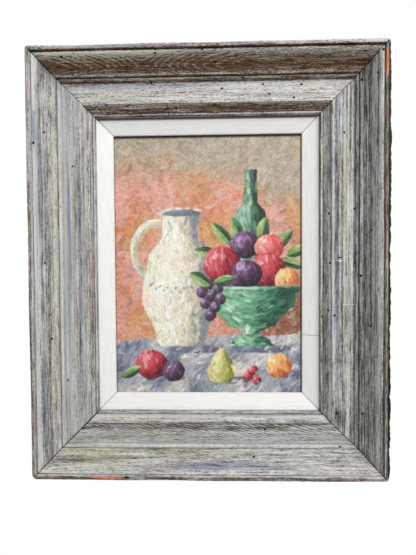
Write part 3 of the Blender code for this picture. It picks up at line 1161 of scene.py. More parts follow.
@dataclass
class FrameRail:
    """One mitred length of the frame's moulding, with its own grain, wear and colours.

    Wash is how much pigment each member holds, run how long its streaks are in millimetres and
    streaks how strong, umber how brown its bare wood is, and speck how strong its flecks are.
    """

    side: Side
    section: Section
    material: bpy.types.Material
    grain: Grain
    wash: tuple[float, ...]
    run: float = 60.0
    streaks: float = 0.22
    umber: float = 0.1
    back_umber: float = 0.25
    speck: float = 0.6
    holes: tuple[WormHole, ...] = ()
    slits: tuple[Slit, ...] = ()
    patches: tuple[Patch, ...] = ()
    chips: tuple[Chip, ...] = ()
    lines: tuple[Line, ...] = ()
    rust: float = 0.15
    opened: Pair = (0.0, 0.0)
    mitre_dirt: Pair = (0.7, 0.7)
    dark_edge: float = 0.0
    ring_relief: float = 0.16 * MM
    soft_relief: float = 0.10 * MM
    streak_relief: float = 0.06 * MM
    lip_wear: float = 0.35 * MM
    face_wave: float = 0.12 * MM
    edge_bumps: float = 1.8 * MM
    mitre_ease: float = 0.25 * MM
    row_spacing: float = 1.55 * MM
    noise: Speckle = field(init=False)
    fine: Speckle = field(init=False)

    def __post_init__(self) -> None:
        """Draws the rail's own noises, one for broad forms and one for fine ones."""
        self.noise = Speckle(11 + self.side.quarter_turns)
        self.fine = Speckle(31 + self.side.quarter_turns)

    def build(self) -> Piece:
        """Makes the rail and gives it its wear and colours."""
        swept = SweptMesh(self.section, self.side, FRAME_HALF, self.row_spacing, opened=self.opened)
        shape, at = swept.build(self.marks())
        late = self.grain.late(at, self.noise)
        worn = self.wear(at)
        points = round_corners(swept.place(at, self.lift(at, late) - worn["depth"]))
        facts = {"laid": at.laid(self.side.quarter_turns * 3.7), "tints": self.tints(at)}
        facts |= {"rust": worn["rust"], "bare": worn["bare"]}
        facts["wash"] = self.pigment(at, late) + worn["wash"]
        facts["grime_and_shade"] = np.clip(worn["grime_and_shade"] + self.dirt_and_shade(at), 0, 1)
        facts["umber"] = self.umber + (self.back_umber - self.umber) * at.behind
        facts["speck"] = np.full_like(at.along, self.speck)
        made = swept.finish(f"rail_{self.side.name}", shape, points, facts, self.material)
        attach(made, "root")
        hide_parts(f"frame_rail_{self.side.name}")
        report(made)
        return made

    def spot(self, along: float, inward: float) -> Array:
        """Turns millimetres along and in from the edge to places along and round the section."""
        return np.array([along * MM, self.section.around_at(inward * MM)])

    def marks(self) -> Array:
        """Where the mesh has to be fine: place along, place round, and radius."""
        spots = [(*self.spot(hole.along, hole.inward), 3 * MM) for hole in self.holes]
        for slit in self.slits:
            start, end = self.spot(*slit.start), self.spot(*slit.end)
            steps = max(2, math.ceil(np.hypot(*(end - start)) / (1.5 * MM)))
            for share in np.linspace(0, 1, steps):
                spots.append((*(start + share * (end - start)), 2.4 * MM))
        return np.array(spots).reshape(-1, 3)

    def wear(self, at: Wrapped) -> dict[str, Array]:
        """Cuts the holes, slits and chips, and says what shows in them."""
        worn = {name: 0 * at.along for name in ("depth", "grime_and_shade", "bare", "rust", "wash")}

        def show(name: str, share: Array) -> None:
            """Keeps the stronger of what shows already and a new share."""
            worn[name] = np.maximum(worn[name], share)

        for hole in self.holes:
            along, around = self.spot(hole.along, hole.inward)
            off = np.hypot(at.along - along, at.around - around) / (hole.radius * MM)
            worn["depth"] += hole.depth * MM * smooth_step(off, 1.15, 0.72)
            show("grime_and_shade", smooth_step(off, 1.40, 1.0))
        for slit in self.slits:
            cut = smooth_step(self.off_line(at, slit) / (slit.width / 2 * MM), 1.35, 0.6)
            worn["depth"] += slit.depth * MM * cut * (0.35 if slit.pale else 1)
            if slit.pale:
                worn["wash"] += 0.9 * cut
            else:
                show("grime_and_shade", cut)
        for chip in self.chips:
            across = (at.inward - chip.inward * MM) / (chip.half_width * MM)
            ragged = 0.35 * self.fine.layered(*at.cells(5, 2), 2)
            off = np.hypot((at.along - chip.along * MM) / (chip.half_length * MM), across) + ragged
            gone = smooth_step(off, 1.1, 0.75) * smooth_step(at.depth, 0.06, 0.07)
            worn["depth"] += chip.depth * MM * gone
            show("bare", chip.bare * gone)
            show("grime_and_shade", chip.grime_and_shade * gone)
            show("rust", chip.rust * gone)
        streaky = 0.5 + 0.5 * self.fine.layered(*at.cells(30, 2.5), 2)
        outer = smooth_step(at.inward, 9 * MM, 5 * MM)
        show("rust", self.rust * (0.3 + 1.4 * outer) * streaky)
        return worn

    def off_line(self, at: Wrapped, slit: Slit) -> Array:
        """How far each point is from a slit's line, with its wobble."""
        start = self.spot(*slit.start)
        run = self.spot(*slit.end) - start
        length = np.hypot(*run)
        share = ((at.along - start[0]) * run[0] + (at.around - start[1]) * run[1]) / length**2
        share = np.clip(share, 0, 1)
        wobble = 0.25 * MM * np.sin(share * length / (2.2 * MM))
        off_along = at.along - start[0] - share * run[0] - wobble * run[1] / length
        off_around = at.around - start[1] - share * run[1] + wobble * run[0] / length
        return np.hypot(off_along, off_around)

    def lift(self, at: Wrapped, late: Array) -> Array:
        """How far the worn surface stands off the plain moulding."""
        soft = self.fine.layered(*at.cells(40, 3.0), 2)
        streak = self.noise.layered(*at.cells(14, 1.7), 2)
        wave = self.noise.at(*at.cells(60, 40, 9))
        lift = self.ring_relief * (late - 0.5) + self.soft_relief * soft
        lift = at.facing * (lift + self.streak_relief * streak + self.face_wave * wave)
        lip = smooth_step(at.inward, 7 * MM, 5 * MM) * smooth_step(at.depth, 0.05, 0.06)
        nicks = smooth_step(self.fine.layered(*at.cells(11, 9, 3), 3), 0.25, 0.7)
        lift += lip * self.lip_wear * (wave - nicks)
        bumps = 0.55 + 0.6 * self.fine.layered(at.along / (6 * MM), 0 * at.around, 2)
        lift += self.edge_bumps * bumps * self.edge_share(at, 1.0 * MM)
        return lift - self.mitre_ease * np.exp(-at.end_gap / (0.45 * MM)) * at.facing

    def edge_share(self, at: Wrapped, reach: float) -> Array:
        """How far each point is on the outermost edge, where painted shadow and bumps go, down to the
        straight side's end.
        """
        near = smooth_step(at.inward, reach, 0.4 * reach) * smooth_step(at.depth, 0.052, 0.058)
        return self.dark_edge * near * smooth_step(at.end_gap, 2 * MM, 8 * MM)

    def pigment(self, at: Wrapped, late: Array) -> Array:
        """How much pigment lies at each point, from 0 for none to 1 for a full coat."""
        base = np.interp(at.inward / MM, MEMBER_MIDDLES, self.wash)
        cloud = self.noise.layered(*at.cells(45, 8, 40), 3)
        ragged = self.noise.layered(*at.cells(13, 3.4, 90), 2)
        streak = self.fine.layered(*at.cells(self.run, 1.9, 7), 2)
        level = base + 0.10 * cloud + 0.12 * ragged + self.streaks * streak
        level = level + self.grain.held * (late - 0.35) * self.grain.strength(at)
        for line in self.lines:
            level = level + line.wash * self.line_share(at, line)
        for patch, share in self.patch_shares(at):
            level = level + patch.wash * share
        return np.where(at.behind > 0.5, 0.12 + 0.12 * cloud, level)

    def tints(self, at: Wrapped) -> Array:
        """How much of each tint the pigment takes at each point, a column to a tint."""
        columns = []
        patches = self.patch_shares(at)
        for tint in Tint:
            cloud = self.fine.layered(*at.cells(70, 3.5, 80 + 31 * tint.value), 3)
            level = (0.04 if tint is ROSE else 0.12) + 0.42 * cloud
            for patch, share in patches:
                level = level + patch.share * share * (patch.tint is tint)
            columns.append(np.clip(level, 0, 1))
        return np.column_stack(columns)

    def line_share(self, at: Wrapped, line: Line) -> Array:
        """How much of a line's wash and dirt each point takes."""
        across = (at.inward / MM - line.inward) / line.half_width
        cells = at.cells(28, 20, 60 + line.inward)
        uneven = 0.85 + 0.45 * self.noise.layered(*cells, 3)
        return np.exp(-(across**2)) * uneven * at.facing

    def patch_shares(self, at: Wrapped) -> list[tuple[Patch, Array]]:
        """Each patch with its share at every point, ragged along the grain."""
        shares = []
        ragged = self.fine.layered(*at.cells(38, 3, 50), 3)
        for patch in self.patches:
            off_along = (at.along / MM - patch.along) / patch.half_length
            middle = patch.inward + patch.lean * (at.along / MM - patch.along)
            off_across = (at.inward / MM - middle) / patch.half_width
            off = np.hypot(off_along, off_across) + 0.45 * ragged
            shares.append((patch, smooth_step(off, 1.25, 0.45) * at.facing))
        return shares

    def dirt_and_shade(self, at: Wrapped) -> Array:
        """Dirt at the mitres, dirt with painted shade in the grooves and at the sight edge, and painted
        shadow along the outer edge.
        """
        grime_and_shade = np.zeros_like(at.along)
        for line in self.lines:
            grime_and_shade = grime_and_shade + line.grime_and_shade * self.line_share(at, line)
        ends = np.where(at.along > 0, self.mitre_dirt[1], self.mitre_dirt[0])
        joint = ends * np.exp(-((at.end_gap / (0.55 * MM)) ** 2))
        return grime_and_shade + joint * at.facing + 1.2 * self.edge_share(at, 4.0 * MM)


# Radii of the frame's worn corners
CORNER_RADIUS = 4.5 * MM
LOW_LEFT_RADIUS = 8.0 * MM


def round_corners(points: Array) -> Array:
    """Turns the frame's four square corners to worn round ones.

    Args:
        points: Points in the part's frame, one to a row.

    Returns:
        The points, with those in the corners drawn in evenly.
    """
    up = points[:, 2] - CENTRE_HEIGHT
    out_x, out_z = np.abs(points[:, 0]), np.abs(up)
    low_left = (points[:, 0] < 0) & (up < 0)
    radius = np.where(low_left, LOW_LEFT_RADIUS, CORNER_RADIUS)
    x_in = out_x - (FRAME_HALF[0] - radius)
    z_in = out_z - (FRAME_HALF[1] - radius)
    square = np.maximum(x_in, z_in)
    inside = (x_in > 0) & (z_in > 0)
    pull = 1 - np.where(inside, square / np.maximum(np.hypot(x_in, z_in), 1e-9), 1)
    moved = points.copy()
    moved[:, 0] = np.sign(points[:, 0]) * (out_x - x_in * pull)
    moved[:, 2] = CENTRE_HEIGHT + np.sign(up) * (out_z - z_in * pull)
    return moved


class Frame:
    """The four rails of the frame, each as the photograph shows it."""

    def __init__(self) -> None:
        """Makes the shared section and finish."""
        self.section = FrameMoulding().section()
        self.material = LimedOak().build()

    def build(self) -> None:
        """Builds the rails clockwise from the top."""
        for rail in (self.top(), self.right(), self.bottom(), self.left()):
            rail.build()

    def rail(self, turns: int, **look: object) -> FrameRail:
        """A rail on one side, with the shared section and finish."""
        return FrameRail(side=SIDES[turns], section=self.section, material=self.material, **look)

    def top(self) -> FrameRail:
        """The top rail: brown, with arched grain in the cove and a chalky, wormy band."""
        return self.rail(
            0,
            grain=ArchedGrain(held=0.38, sharp=3.0, heart=(-92.0, 20.5)),
            wash=(
                0.68, 0.60, 0.04, 0.63, 0.38, 0.12, 0.36, 0.14, 0.28,
                0.39, 0.86, 0.63, 0.74, 0.65, 0.24, 0.21, 0.15, 0.66,
            ),
            run=42.0,
            umber=1.0,
            speck=1.15,
            holes=rows(
                WormHole,
                (-204, 13.5), (-181, 36.1), (-71, 12.3), (-82, 38.5), (-5, 9.0), (13, 18.7), (23, 50.6),
                (-45, 77.0), (54, 35.0), (83, 44.9), (92, 60.6), (139, 46.0), (127, 67.4),
            ),
            slits=(
                Slit((-59, 72.2), (-56, 87.9), 1.0, 1.6), Slit((-97, 82.3), (-97, 88.3), 0.8, 0.9),
                Slit((-7, 71.9), (-7, 83.1), 0.5, 0.4), Slit((-83, 37.0), (-81, 41.5), 1.4, 2.0),
            ),
            patches=rows(
                Patch,
                (-150, 10.5, 115, 3.6, OLIVE, 0.12, 0.38), (-40, 19, 260, 9.5, OLIVE, 0.40),
                (-60, 21, 260, 9.0, ROSE, 0.35), (-20, 34, 260, 2.6, OLIVE, 0.45),
                (90, 11, 150, 3.0, SLATE, 0.35, 0.05), (-60, 3, 220, 3.0, SLATE, 0.25),
                (-90, 45, 140, 4.0, SLATE, 0.40, -0.06), (110, 63, 80, 4.0, SLATE, 0.40),
                (-110, 60, 110, 7.0, OLIVE, 0.20, 0.04), (-90, 75.5, 40, 2.0, OLIVE, 0.1, 0.30),
                (0, 86, 250, 3.0, SLATE, 0.35), (60, 76, 60, 3.0, ROSE, 0.4, -0.05),
            ),
            chips=rows(
                Chip,
                (-195, 5.0, 22, 1.2, 0.2, 0.15, 0.0, 0.8), (-120, 5.2, 26, 1.0, 0.2, 0.2, 0.0, 0.9),
            ),
            # Dark lines in the grooves and at the sight edge: dirt with painted shade, darkest on this
            # rail, whose grooves face down, away from the light
            lines=(
                Line(7.0, 1.3, grime_and_shade=0.90), Line(28.6, 0.9, wash=0.35), Line(31.2, 0.9, grime_and_shade=0.70),
                Line(33.2, 0.8, wash=0.35), Line(37.7, 1.9, grime_and_shade=0.45), Line(83.3, 0.9, grime_and_shade=0.85),
                Line(87.8, 1.2, grime_and_shade=1.0),
            ),
            rust=0.25,
        )

    def right(self) -> FrameRail:
        """The right rail: long straight streaks, a slate strip on the band, a worn lip."""
        return self.rail(
            1,
            grain=Grain(2.4, -0.20),
            wash=(
                0.38, 0.26, 0.36, 0.68, 0.58, 0.37, 0.50, 0.35, 0.62,
                0.45, 0.53, 0.51, 0.44, 0.56, 0.46, 0.57, 0.28, 0.43,
            ),
            run=280.0,
            streaks=0.38,
            umber=0.10,
            speck=0.55,
            holes=rows(
                WormHole,
                (-294, 9.9), (-266, 14.8), (-267, 28.7), (-191, 54.1), (-81, 36.7), (-74, 75.4),
                (-48, 19.0), (-1, 74.2), (18, 29.2), (69, 76.1), (78, 84.4), (76, 68.3), (91, 19.3),
                (221, 65.3), (222, 26.5),
            ),
            slits=(
                Slit((-9, 58.5), (-9, 62.5), 1.6, 2.2), Slit((-4, 58.0), (-5, 66.0), 1.7, 0.8, pale=True),
                Slit((60, 55.6), (61, 36.4), 1.2, 0.6, pale=True),
                Slit((-104, 8.6), (-104, 13.5), 0.6, 0.8),
            ),
            patches=rows(
                Patch,
                (-20, 65.0, 210, 3.2, SLATE, 0.95, -0.08), (-20, 70.0, 230, 1.4, SLATE, 0.35, 0.20),
                (-220, 58, 60, 12, SLATE, 0.35, 0.14), (-90, 52, 120, 5.0, OLIVE, 0.50, 0.06),
                (145, 50, 90, 5.5, OLIVE, 0.40), (0, 11.0, 300, 2.2, SLATE, 0.20, 0.05),
                (0, 17.0, 300, 3.5, ROSE, 0.12, -0.03), (0, 3.0, 300, 2.2, OLIVE, 0.40),
                (0, 44.0, 300, 2.5, ROSE, 0.22), (0, 77.5, 300, 3.0, ROSE, 0.20),
                (-40, 34.0, 260, 1.8, SLATE, 0.35), (230, 60, 16, 12, SLATE, 0.60, -0.16),
            ),
            chips=rows(
                Chip,
                (-277, 3.9, 19, 3.3, 0.5, 1.0), (-207, 5.0, 7, 1.4, 0.3, 0.4, 0.0, 0.9),
                (-110, 6.2, 45, 0.9, 0.2, 0.25, 0.0, 0.8), (-40, 6.2, 50, 0.9, 0.2, 0.2, 0.0, 0.9),
                (143, 6.0, 6, 1.6, 0.4, 0.1, 0.0, 1.0),
            ),
            # Dark lines in the grooves and at the sight edge: dirt with painted shade
            lines=(
                Line(7.4, 1.0, grime_and_shade=0.5), Line(13.6, 0.8, wash=-0.2), Line(28.9, 0.8, wash=0.25),
                Line(31.3, 1.1, grime_and_shade=0.65), Line(36.6, 0.9, grime_and_shade=0.45), Line(40.9, 0.8, wash=0.12),
                Line(79.8, 0.8, grime_and_shade=0.25), Line(83.2, 0.8, grime_and_shade=0.5), Line(85.4, 0.8, wash=0.25),
                Line(87.9, 1.0, grime_and_shade=0.9),
            ),
            rust=0.15,
            # Painted shadow along the outermost edge
            dark_edge=1.0,
            mitre_dirt=(0.7, 1.0),
            opened=(0.0, 0.15 * MM),
        )

    def bottom(self) -> FrameRail:
        """The bottom rail: slanting grain, a dark line at the arris, a chipped lip."""
        return self.rail(
            2,
            grain=SlantedGrain(held=-0.45, sharp=3.0),
            wash=(
                0.24, 0.24, 0.84, 0.65, 0.62, 0.56, 0.57, 0.62, 0.70,
                1.05, 0.67, 0.68, 0.38, 0.46, 0.76, 0.98, 0.64, 0.64,
            ),
            run=48.0,
            umber=0.25,
            speck=0.75,
            holes=rows(WormHole, (-196, 35.6), (-67, 22.8), (-84, 63.0)),
            patches=rows(
                Patch,
                (-10, 16, 120, 3.8, SLATE, 0.50, -0.06), (150, 17, 50, 5, OLIVE, 0.35, 0.08),
                (130, 22, 30, 2, ROSE, 0.7, -0.05), (40, 28, 180, 2.6, OLIVE, 0.45, 0.05),
                (190, 26, 55, 6.0, OLIVE, 0.55, 0.10), (175, 20, 50, 2.0, ROSE, 0.70, -0.04),
                (205, 37, 40, 3.0, ROSE, 0.45, 0.05), (60, 31, 110, 1.6, ROSE, 0.45, -0.03),
                (0, 39, 240, 2.0, OLIVE, 0.25, 0.08), (60, 66, 130, 4.0, ROSE, 0.30, -0.05),
                (60, 52, 110, 4.0, OLIVE, 0.28), (-100, 82, 120, 4.0, SLATE, 0.35),
                (120, 76, 70, 3.0, OLIVE, 0.25, 0.05),
            ),
            chips=rows(
                Chip,
                (146, 4.6, 30, 1.5, 0.5, 1.0), (117, 4.6, 4, 1.6, 0.6, 0.0, 1.0),
                (70, 4.0, 34, 1.6, 0.3, 0.0, 0.55, 0.3), (-20, 4.0, 34, 1.4, 0.3, 0.0, 0.40, 0.4),
                (-110, 4.0, 44, 1.4, 0.3, 0.0, 0.45, 0.2),
            ),
            # Dark lines at the outer edge, the arris, the quirk and the sight edge: dirt with painted
            # shade; the grooves that face up to the light are left pale
            lines=(
                Line(0.4, 0.8, grime_and_shade=0.55), Line(9.0, 0.9, wash=0.15), Line(38.6, 1.2, wash=0.15),
                Line(71.8, 1.0, grime_and_shade=0.85), Line(83.3, 0.8, grime_and_shade=0.25), Line(88.0, 0.9, grime_and_shade=0.40),
            ),
            rust=0.3,
            mitre_dirt=(1.0, 1.0),
            opened=(0.15 * MM, 0.5 * MM),
        )

    def left(self) -> FrameRail:
        """The left rail: mauve grey, with slate, olive and rose strips."""
        return self.rail(
            3,
            grain=Grain(2.6, -0.14),
            wash=(
                0.42, 0.42, 0.70, 0.96, 0.54, 0.46, 0.70, 0.56, 0.79,
                0.90, 0.88, 0.75, 0.65, 0.78, 0.44, 0.61, 0.45, 0.61,
            ),
            run=110.0,
            streaks=0.27,
            umber=0.12,
            speck=0.58,
            holes=rows(
                WormHole,
                (194, 18.7), (174, 9.6), (4, 17.6), (-109, 22.1), (-174, 41.7), (147, 55.3, 1.3, 0.8),
            ),
            slits=(
                Slit((-96, 67.5), (-20, 55.0), 1.2, 0.3, pale=True),
                Slit((-20, 55.0), (58, 43.5), 1.2, 0.3, pale=True),
            ),
            patches=rows(
                Patch,
                (0, 11.0, 300, 2.4, SLATE, 0.30, 0.05), (-190, 16.0, 80, 3.0, SLATE, 0.60, -0.05),
                (150, 15.0, 90, 3.0, SLATE, 0.45), (30, 21.0, 260, 2.0, ROSE, 0.30, -0.03),
                (198, 10.5, 30, 2, SLATE, 0.9, -0.1), (20, 27.0, 280, 3.0, OLIVE, 0.50),
                (40, 47.0, 200, 4.0, SLATE, 0.62, -0.04), (40, 56.0, 200, 4.0, ROSE, 0.40),
                (40, 64.5, 170, 3.6, SLATE, 0.75, -0.08), (-116, 52, 38, 4, OLIVE, 0.70, 0.10),
                (-225, 42, 60, 3, OLIVE, 0.15), (-170, 63, 70, 5, SLATE, 0.45),
                (0, 76, 240, 2.2, OLIVE, 0.35, 0.04), (40, 80.5, 180, 1.8, ROSE, 0.65),
            ),
            chips=rows(
                Chip,
                (249, 3.6, 6, 1.2, 0.4, 0.8), (100, 6.0, 120, 1.0, 0.2, 0.0, 0.0, 0.7),
                (-120, 6.0, 120, 1.0, 0.2, 0.0, 0.0, 0.6),
            ),
            # Dark lines at the outer edge, in the grooves and at the sight edge: dirt with painted shade,
            # faint on this rail, which faces the light
            lines=(
                Line(-0.2, 1.6, grime_and_shade=0.70), Line(6.6, 1.0, grime_and_shade=0.20), Line(8.9, 0.9, wash=0.25),
                Line(31.2, 0.9, grime_and_shade=0.35), Line(33.4, 0.9, wash=0.30), Line(37.0, 1.0, grime_and_shade=0.30),
                Line(41.0, 0.9, wash=0.28), Line(71.9, 0.9, grime_and_shade=0.45), Line(82.2, 0.8, wash=0.20),
                Line(83.4, 0.8, grime_and_shade=0.40), Line(88.0, 0.9, grime_and_shade=0.70),
            ),
            rust=0.35,
            mitre_dirt=(1.0, 0.7),
            opened=(0.5 * MM, 0.0),
        )


@dataclass
class Liner:
    """The white inner slip: four mitred lengths, flat under the frame and bevelled inwards."""

    shown: float = 23.1 * MM
    bevel: float = 9.0 * MM
    edge: float = 3.0 * MM
    canvas_rebate: float = 7.0 * MM
    fine: float = 1.1 * MM
    coarse: float = 4.0 * MM
    row_spacing: float = 2.6 * MM
    brush_relief: float = 0.06 * MM
    mitre_ease: float = 0.15 * MM
    shadow_and_dirt_band: Pair = (10.4 * MM, 8.4 * MM)
    crack_at: float = 108.0 * MM

    @property
    def lip_front(self) -> float:
        """Depth off the wall of the inner edge."""
        return LINER_FRONT - self.bevel

    @property
    def lip_back(self) -> float:
        """Depth off the wall of the lip's underside."""
        return self.lip_front - self.edge

    def section(self) -> Section:
        """The liner's outline."""
        rebate_at = LINER_WIDTH - self.canvas_rebate
        flat_end = [LINER_WIDTH - self.shown, LINER_FRONT]
        front = [[0, LINER_FRONT], flat_end, [LINER_WIDTH, self.lip_front]]
        back = [
            [rebate_at, self.lip_back],
            [rebate_at, LINER_RECESS],
            [0, LINER_RECESS],
            [0, LINER_FRONT],
        ]
        stretches = legs(back, self.coarse) + legs(front, self.fine)
        stretches += legs([front[-1], [LINER_WIDTH, self.lip_back], back[0]], self.fine)
        return Section(stretches)

    def build(self) -> None:
        """Makes the four lengths."""
        section = self.section()
        material = PaintedLiner().build()
        for side in SIDES:
            swept = SweptMesh(section, side, LINER_HALF, self.row_spacing)
            cracked = side.name == "right"
            shape, at = swept.build(self.crack_marks(section) if cracked else np.zeros((0, 3)))
            rough = Speckle(71 + side.quarter_turns)
            face = at.lean_out > 0.1
            lift = self.brush_relief * rough.layered(*at.cells(50, 3), 2) * face
            lift = lift - self.mitre_ease * np.exp(-at.end_gap / (0.5 * MM)) * face
            facts = {"laid": at.laid(side.quarter_turns * 5.3)}
            facts["grime_and_shade"] = np.clip(self.grime_and_shade(side, at, rough), 0, 1)
            points = swept.place(at, lift)
            made = swept.finish(f"slip_{side.name}", shape, points, facts, material)
            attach(made, "root")
            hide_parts(f"liner_{side.name}")
            report(made)

    def grime_and_shade(self, side: Side, at: Wrapped, rough: Speckle) -> Array:
        """Dirt at the mitres, on the inner edge and in the crack, and painted shadow with dirt under the
        top rail.
        """
        face = at.lean_out > 0.1
        grime_and_shade = 0.45 * np.exp(-((at.end_gap / (0.5 * MM)) ** 2)) * face
        edge = np.exp(-(((at.inward - LINER_WIDTH) / (1.2 * MM)) ** 2)) * (at.lean_out > 0)
        grime_and_shade = grime_and_shade + 0.15 * edge * (0.6 + 0.6 * rough.at(at.along / (12 * MM), at.around))
        # Painted shadow, with some dirt, where the top rail's edge overhangs the liner
        if side.name == "top":
            grime_and_shade = np.maximum(grime_and_shade, 0.97 * smooth_step(at.inward, *self.shadow_and_dirt_band) * face)
        if side.name == "right":
            stray = 0.8 * MM * rough.at(at.around / (5 * MM), 0 * at.around)
            off = np.abs(at.along - self.crack_at - stray) / (0.5 * MM)
            grime_and_shade = np.maximum(grime_and_shade, 0.6 * smooth_step(off, 1.5, 0.4) * face)
        return grime_and_shade

    def crack_marks(self, section: Section) -> Array:
        """Where the mesh has to be fine for the hairline crack: along, round, and radius."""
        outer, inner = (section.around_at(at) for at in (LINER_WIDTH - self.shown, LINER_WIDTH))
        spots = np.arange(outer, inner, 2 * MM)
        return np.array([(self.crack_at, around, 3 * MM) for around in spots])


@dataclass
class Strainer:
    """The four plain pine bars that the canvas is stretched over."""

    seat: float = 6.0 * MM
    relief: float = 2.0 * MM
    spacing: float = 3.2 * MM
    row_spacing: float = 5.0 * MM
    saw_marks: float = 0.10 * MM

    def build(self) -> list[Piece]:
        """Makes the bars.

        Returns:
            The four bars.
        """
        front_low = BAR_FRONT - self.relief
        outline = [
            [0, BAR_BACK],
            [0, BAR_FRONT],
            [self.seat, BAR_FRONT],
            [BAR_WIDTH, front_low],
            [BAR_WIDTH, BAR_BACK],
            [0, BAR_BACK],
        ]
        section = Section(legs(outline, self.spacing))
        material = BarePine().build()
        bars = []
        for side in SIDES:
            swept = SweptMesh(section, side, BAR_HALF, self.row_spacing)
            shape, at = swept.build(np.zeros((0, 3)))
            rough = Speckle(91 + side.quarter_turns)
            behind = smooth_step(at.lean_out, -0.5, -0.9) * (at.depth < BAR_BACK + 1 * MM)
            lift = -self.saw_marks * (0.5 + 0.5 * rough.layered(*at.cells(9, 30), 2)) * behind
            facts = {"laid": at.laid(side.quarter_turns * 2.9)}
            facts["grime_and_shade"] = 0.5 * np.exp(-((at.end_gap / (0.6 * MM)) ** 2))
            points = swept.place(at, lift)
            made = swept.finish(f"bar_{side.name}", shape, points, facts, material)
            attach(made, "root")
            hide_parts(f"strainer_bar_{side.name}")
            report(made)
            bars.append(made)
        return bars


@dataclass(frozen=True)
class Touch:
    """How one motif is brushed in: sizes, spacing and thickness of its strokes, in millimetres.

    Bend is how much a stroke curves, and loose how far its direction strays, in radians.
    """

    width: float
    length: float
    load: float
    spacing: float
    bend: float = 0.15
    loose: float = 0.25


@dataclass(frozen=True)
class Motif:
    """Something painted: where it is, its colours from dark to light, and its brushwork."""

    palette: tuple[str, ...]
    touch: Touch
    hair: float = field(default=0.18, kw_only=True)

    def covers(self, x: Array, z: Array) -> Array:
        """Whether points are on the motif, in millimetres from the picture's centre."""
        raise NotImplementedError

    def tone(self, x: Array, z: Array) -> Array:
        """How light the motif is at each point, from 0 to 1."""
        raise NotImplementedError

    def heading(self, x: float, z: float) -> float:
        """Which way the brush moves, in radians."""
        raise NotImplementedError

    def box(self) -> Box:
        """Lowest x, highest x, lowest z and highest z of the motif."""
        raise NotImplementedError

    def colour(self, x: float, z: float, shift: float) -> Array:
        """Picks a colour off the palette.

        Args:
            x: Place to the right.
            z: Place upwards.
            shift: How much lighter or darker than the motif's tone.

        Returns:
            Linear red, green and blue.
        """
        tones = np.array([to_linear(c)[:3] for c in self.palette])
        level = np.clip(float(self.tone(np.array(x), np.array(z))) + shift, 0, 1)
        at = level * (len(tones) - 1)
        low = min(int(at), len(tones) - 2)
        return tones[low] + (tones[low + 1] - tones[low]) * (at - low)


@dataclass(frozen=True)
class Round(Motif):
    """A fruit or another ellipse, lit from the upper left and brushed down its form."""

    centre: Pair = (0.0, 0.0)
    radii: Pair = (20.0, 20.0)

    def local(self, x: Array, z: Array) -> tuple[Array, Array]:
        """Places from the ellipse's middle, as shares of its radii."""
        return (x - self.centre[0]) / self.radii[0], (z - self.centre[1]) / self.radii[1]

    def covers(self, x: Array, z: Array) -> Array:
        """Whether points are inside the ellipse."""
        return np.hypot(*self.local(x, z)) < 1

    def tone(self, x: Array, z: Array) -> Array:
        """Light on the upper left, dark on the lower right."""
        right, up = self.local(x, z)
        front = np.sqrt(np.clip(1 - right**2 - up**2, 0, 1))
        return 0.06 + 0.80 * np.clip(0.50 * up - 0.52 * right + 0.62 * front, 0, 1)

    def heading(self, x: float, z: float) -> float:
        """Down the form from its top, or level where the ellipse is flat."""
        if self.radii[1] < 0.4 * self.radii[0]:
            return 0.0
        right, up = self.local(x, z)
        return math.atan2(1, -right * up / max(1 - up**2, 0.2)) + 0.25

    def box(self) -> Box:
        """The ellipse's box."""
        (x, z), (wide, high) = self.centre, self.radii
        return x - wide, x + wide, z - high, z + high


@dataclass(frozen=True)
class Turned(Motif):
    """A pot: half widths at several heights, lit from the left."""

    middle: float = 0.0
    heights: tuple[float, ...] = (0.0, 1.0)
    widths: tuple[float, ...] = (1.0, 1.0)
    upright: bool = True

    def half_width(self, z: Array) -> Array:
        """Half the pot's width at a height, smooth between the given ones."""
        at = np.interp(z, self.heights, np.arange(len(self.heights)))
        low = np.clip(np.floor(at).astype(int), 0, len(self.heights) - 2)
        share = at - low
        share = share * share * (3 - 2 * share)
        widths = np.array(self.widths)
        return widths[low] + (widths[low + 1] - widths[low]) * share

    def covers(self, x: Array, z: Array) -> Array:
        """Whether points are inside the outline."""
        within = (z > self.heights[0]) & (z < self.heights[-1])
        return within & (np.abs(x - self.middle) < self.half_width(z))

    def tone(self, x: Array, z: Array) -> Array:
        """Lightest a third in from the left, darkest at the right."""
        across = (x - self.middle) / np.maximum(self.half_width(z), 1)
        bulge = np.gradient(np.array(self.widths), np.array(self.heights))
        lean = np.interp(z, self.heights, bulge)
        return np.clip(0.78 - 0.55 * (across + 0.35) ** 2 - 0.18 * across - 0.12 * lean, 0, 1)

    def heading(self, x: float, z: float) -> float:
        """Up the sides, leaning as the outline leans, or round the belly."""
        half = max(float(self.half_width(np.array(z))), 1)
        across = (x - self.middle) / half
        if not self.upright:
            return 0.6 * across
        slope = float(self.half_width(np.array(z + 4))) - float(self.half_width(np.array(z - 4)))
        return math.atan2(8, across * slope)

    def box(self) -> Box:
        """The outline's box."""
        wide = max(self.widths)
        return self.middle - wide, self.middle + wide, self.heights[0], self.heights[-1]


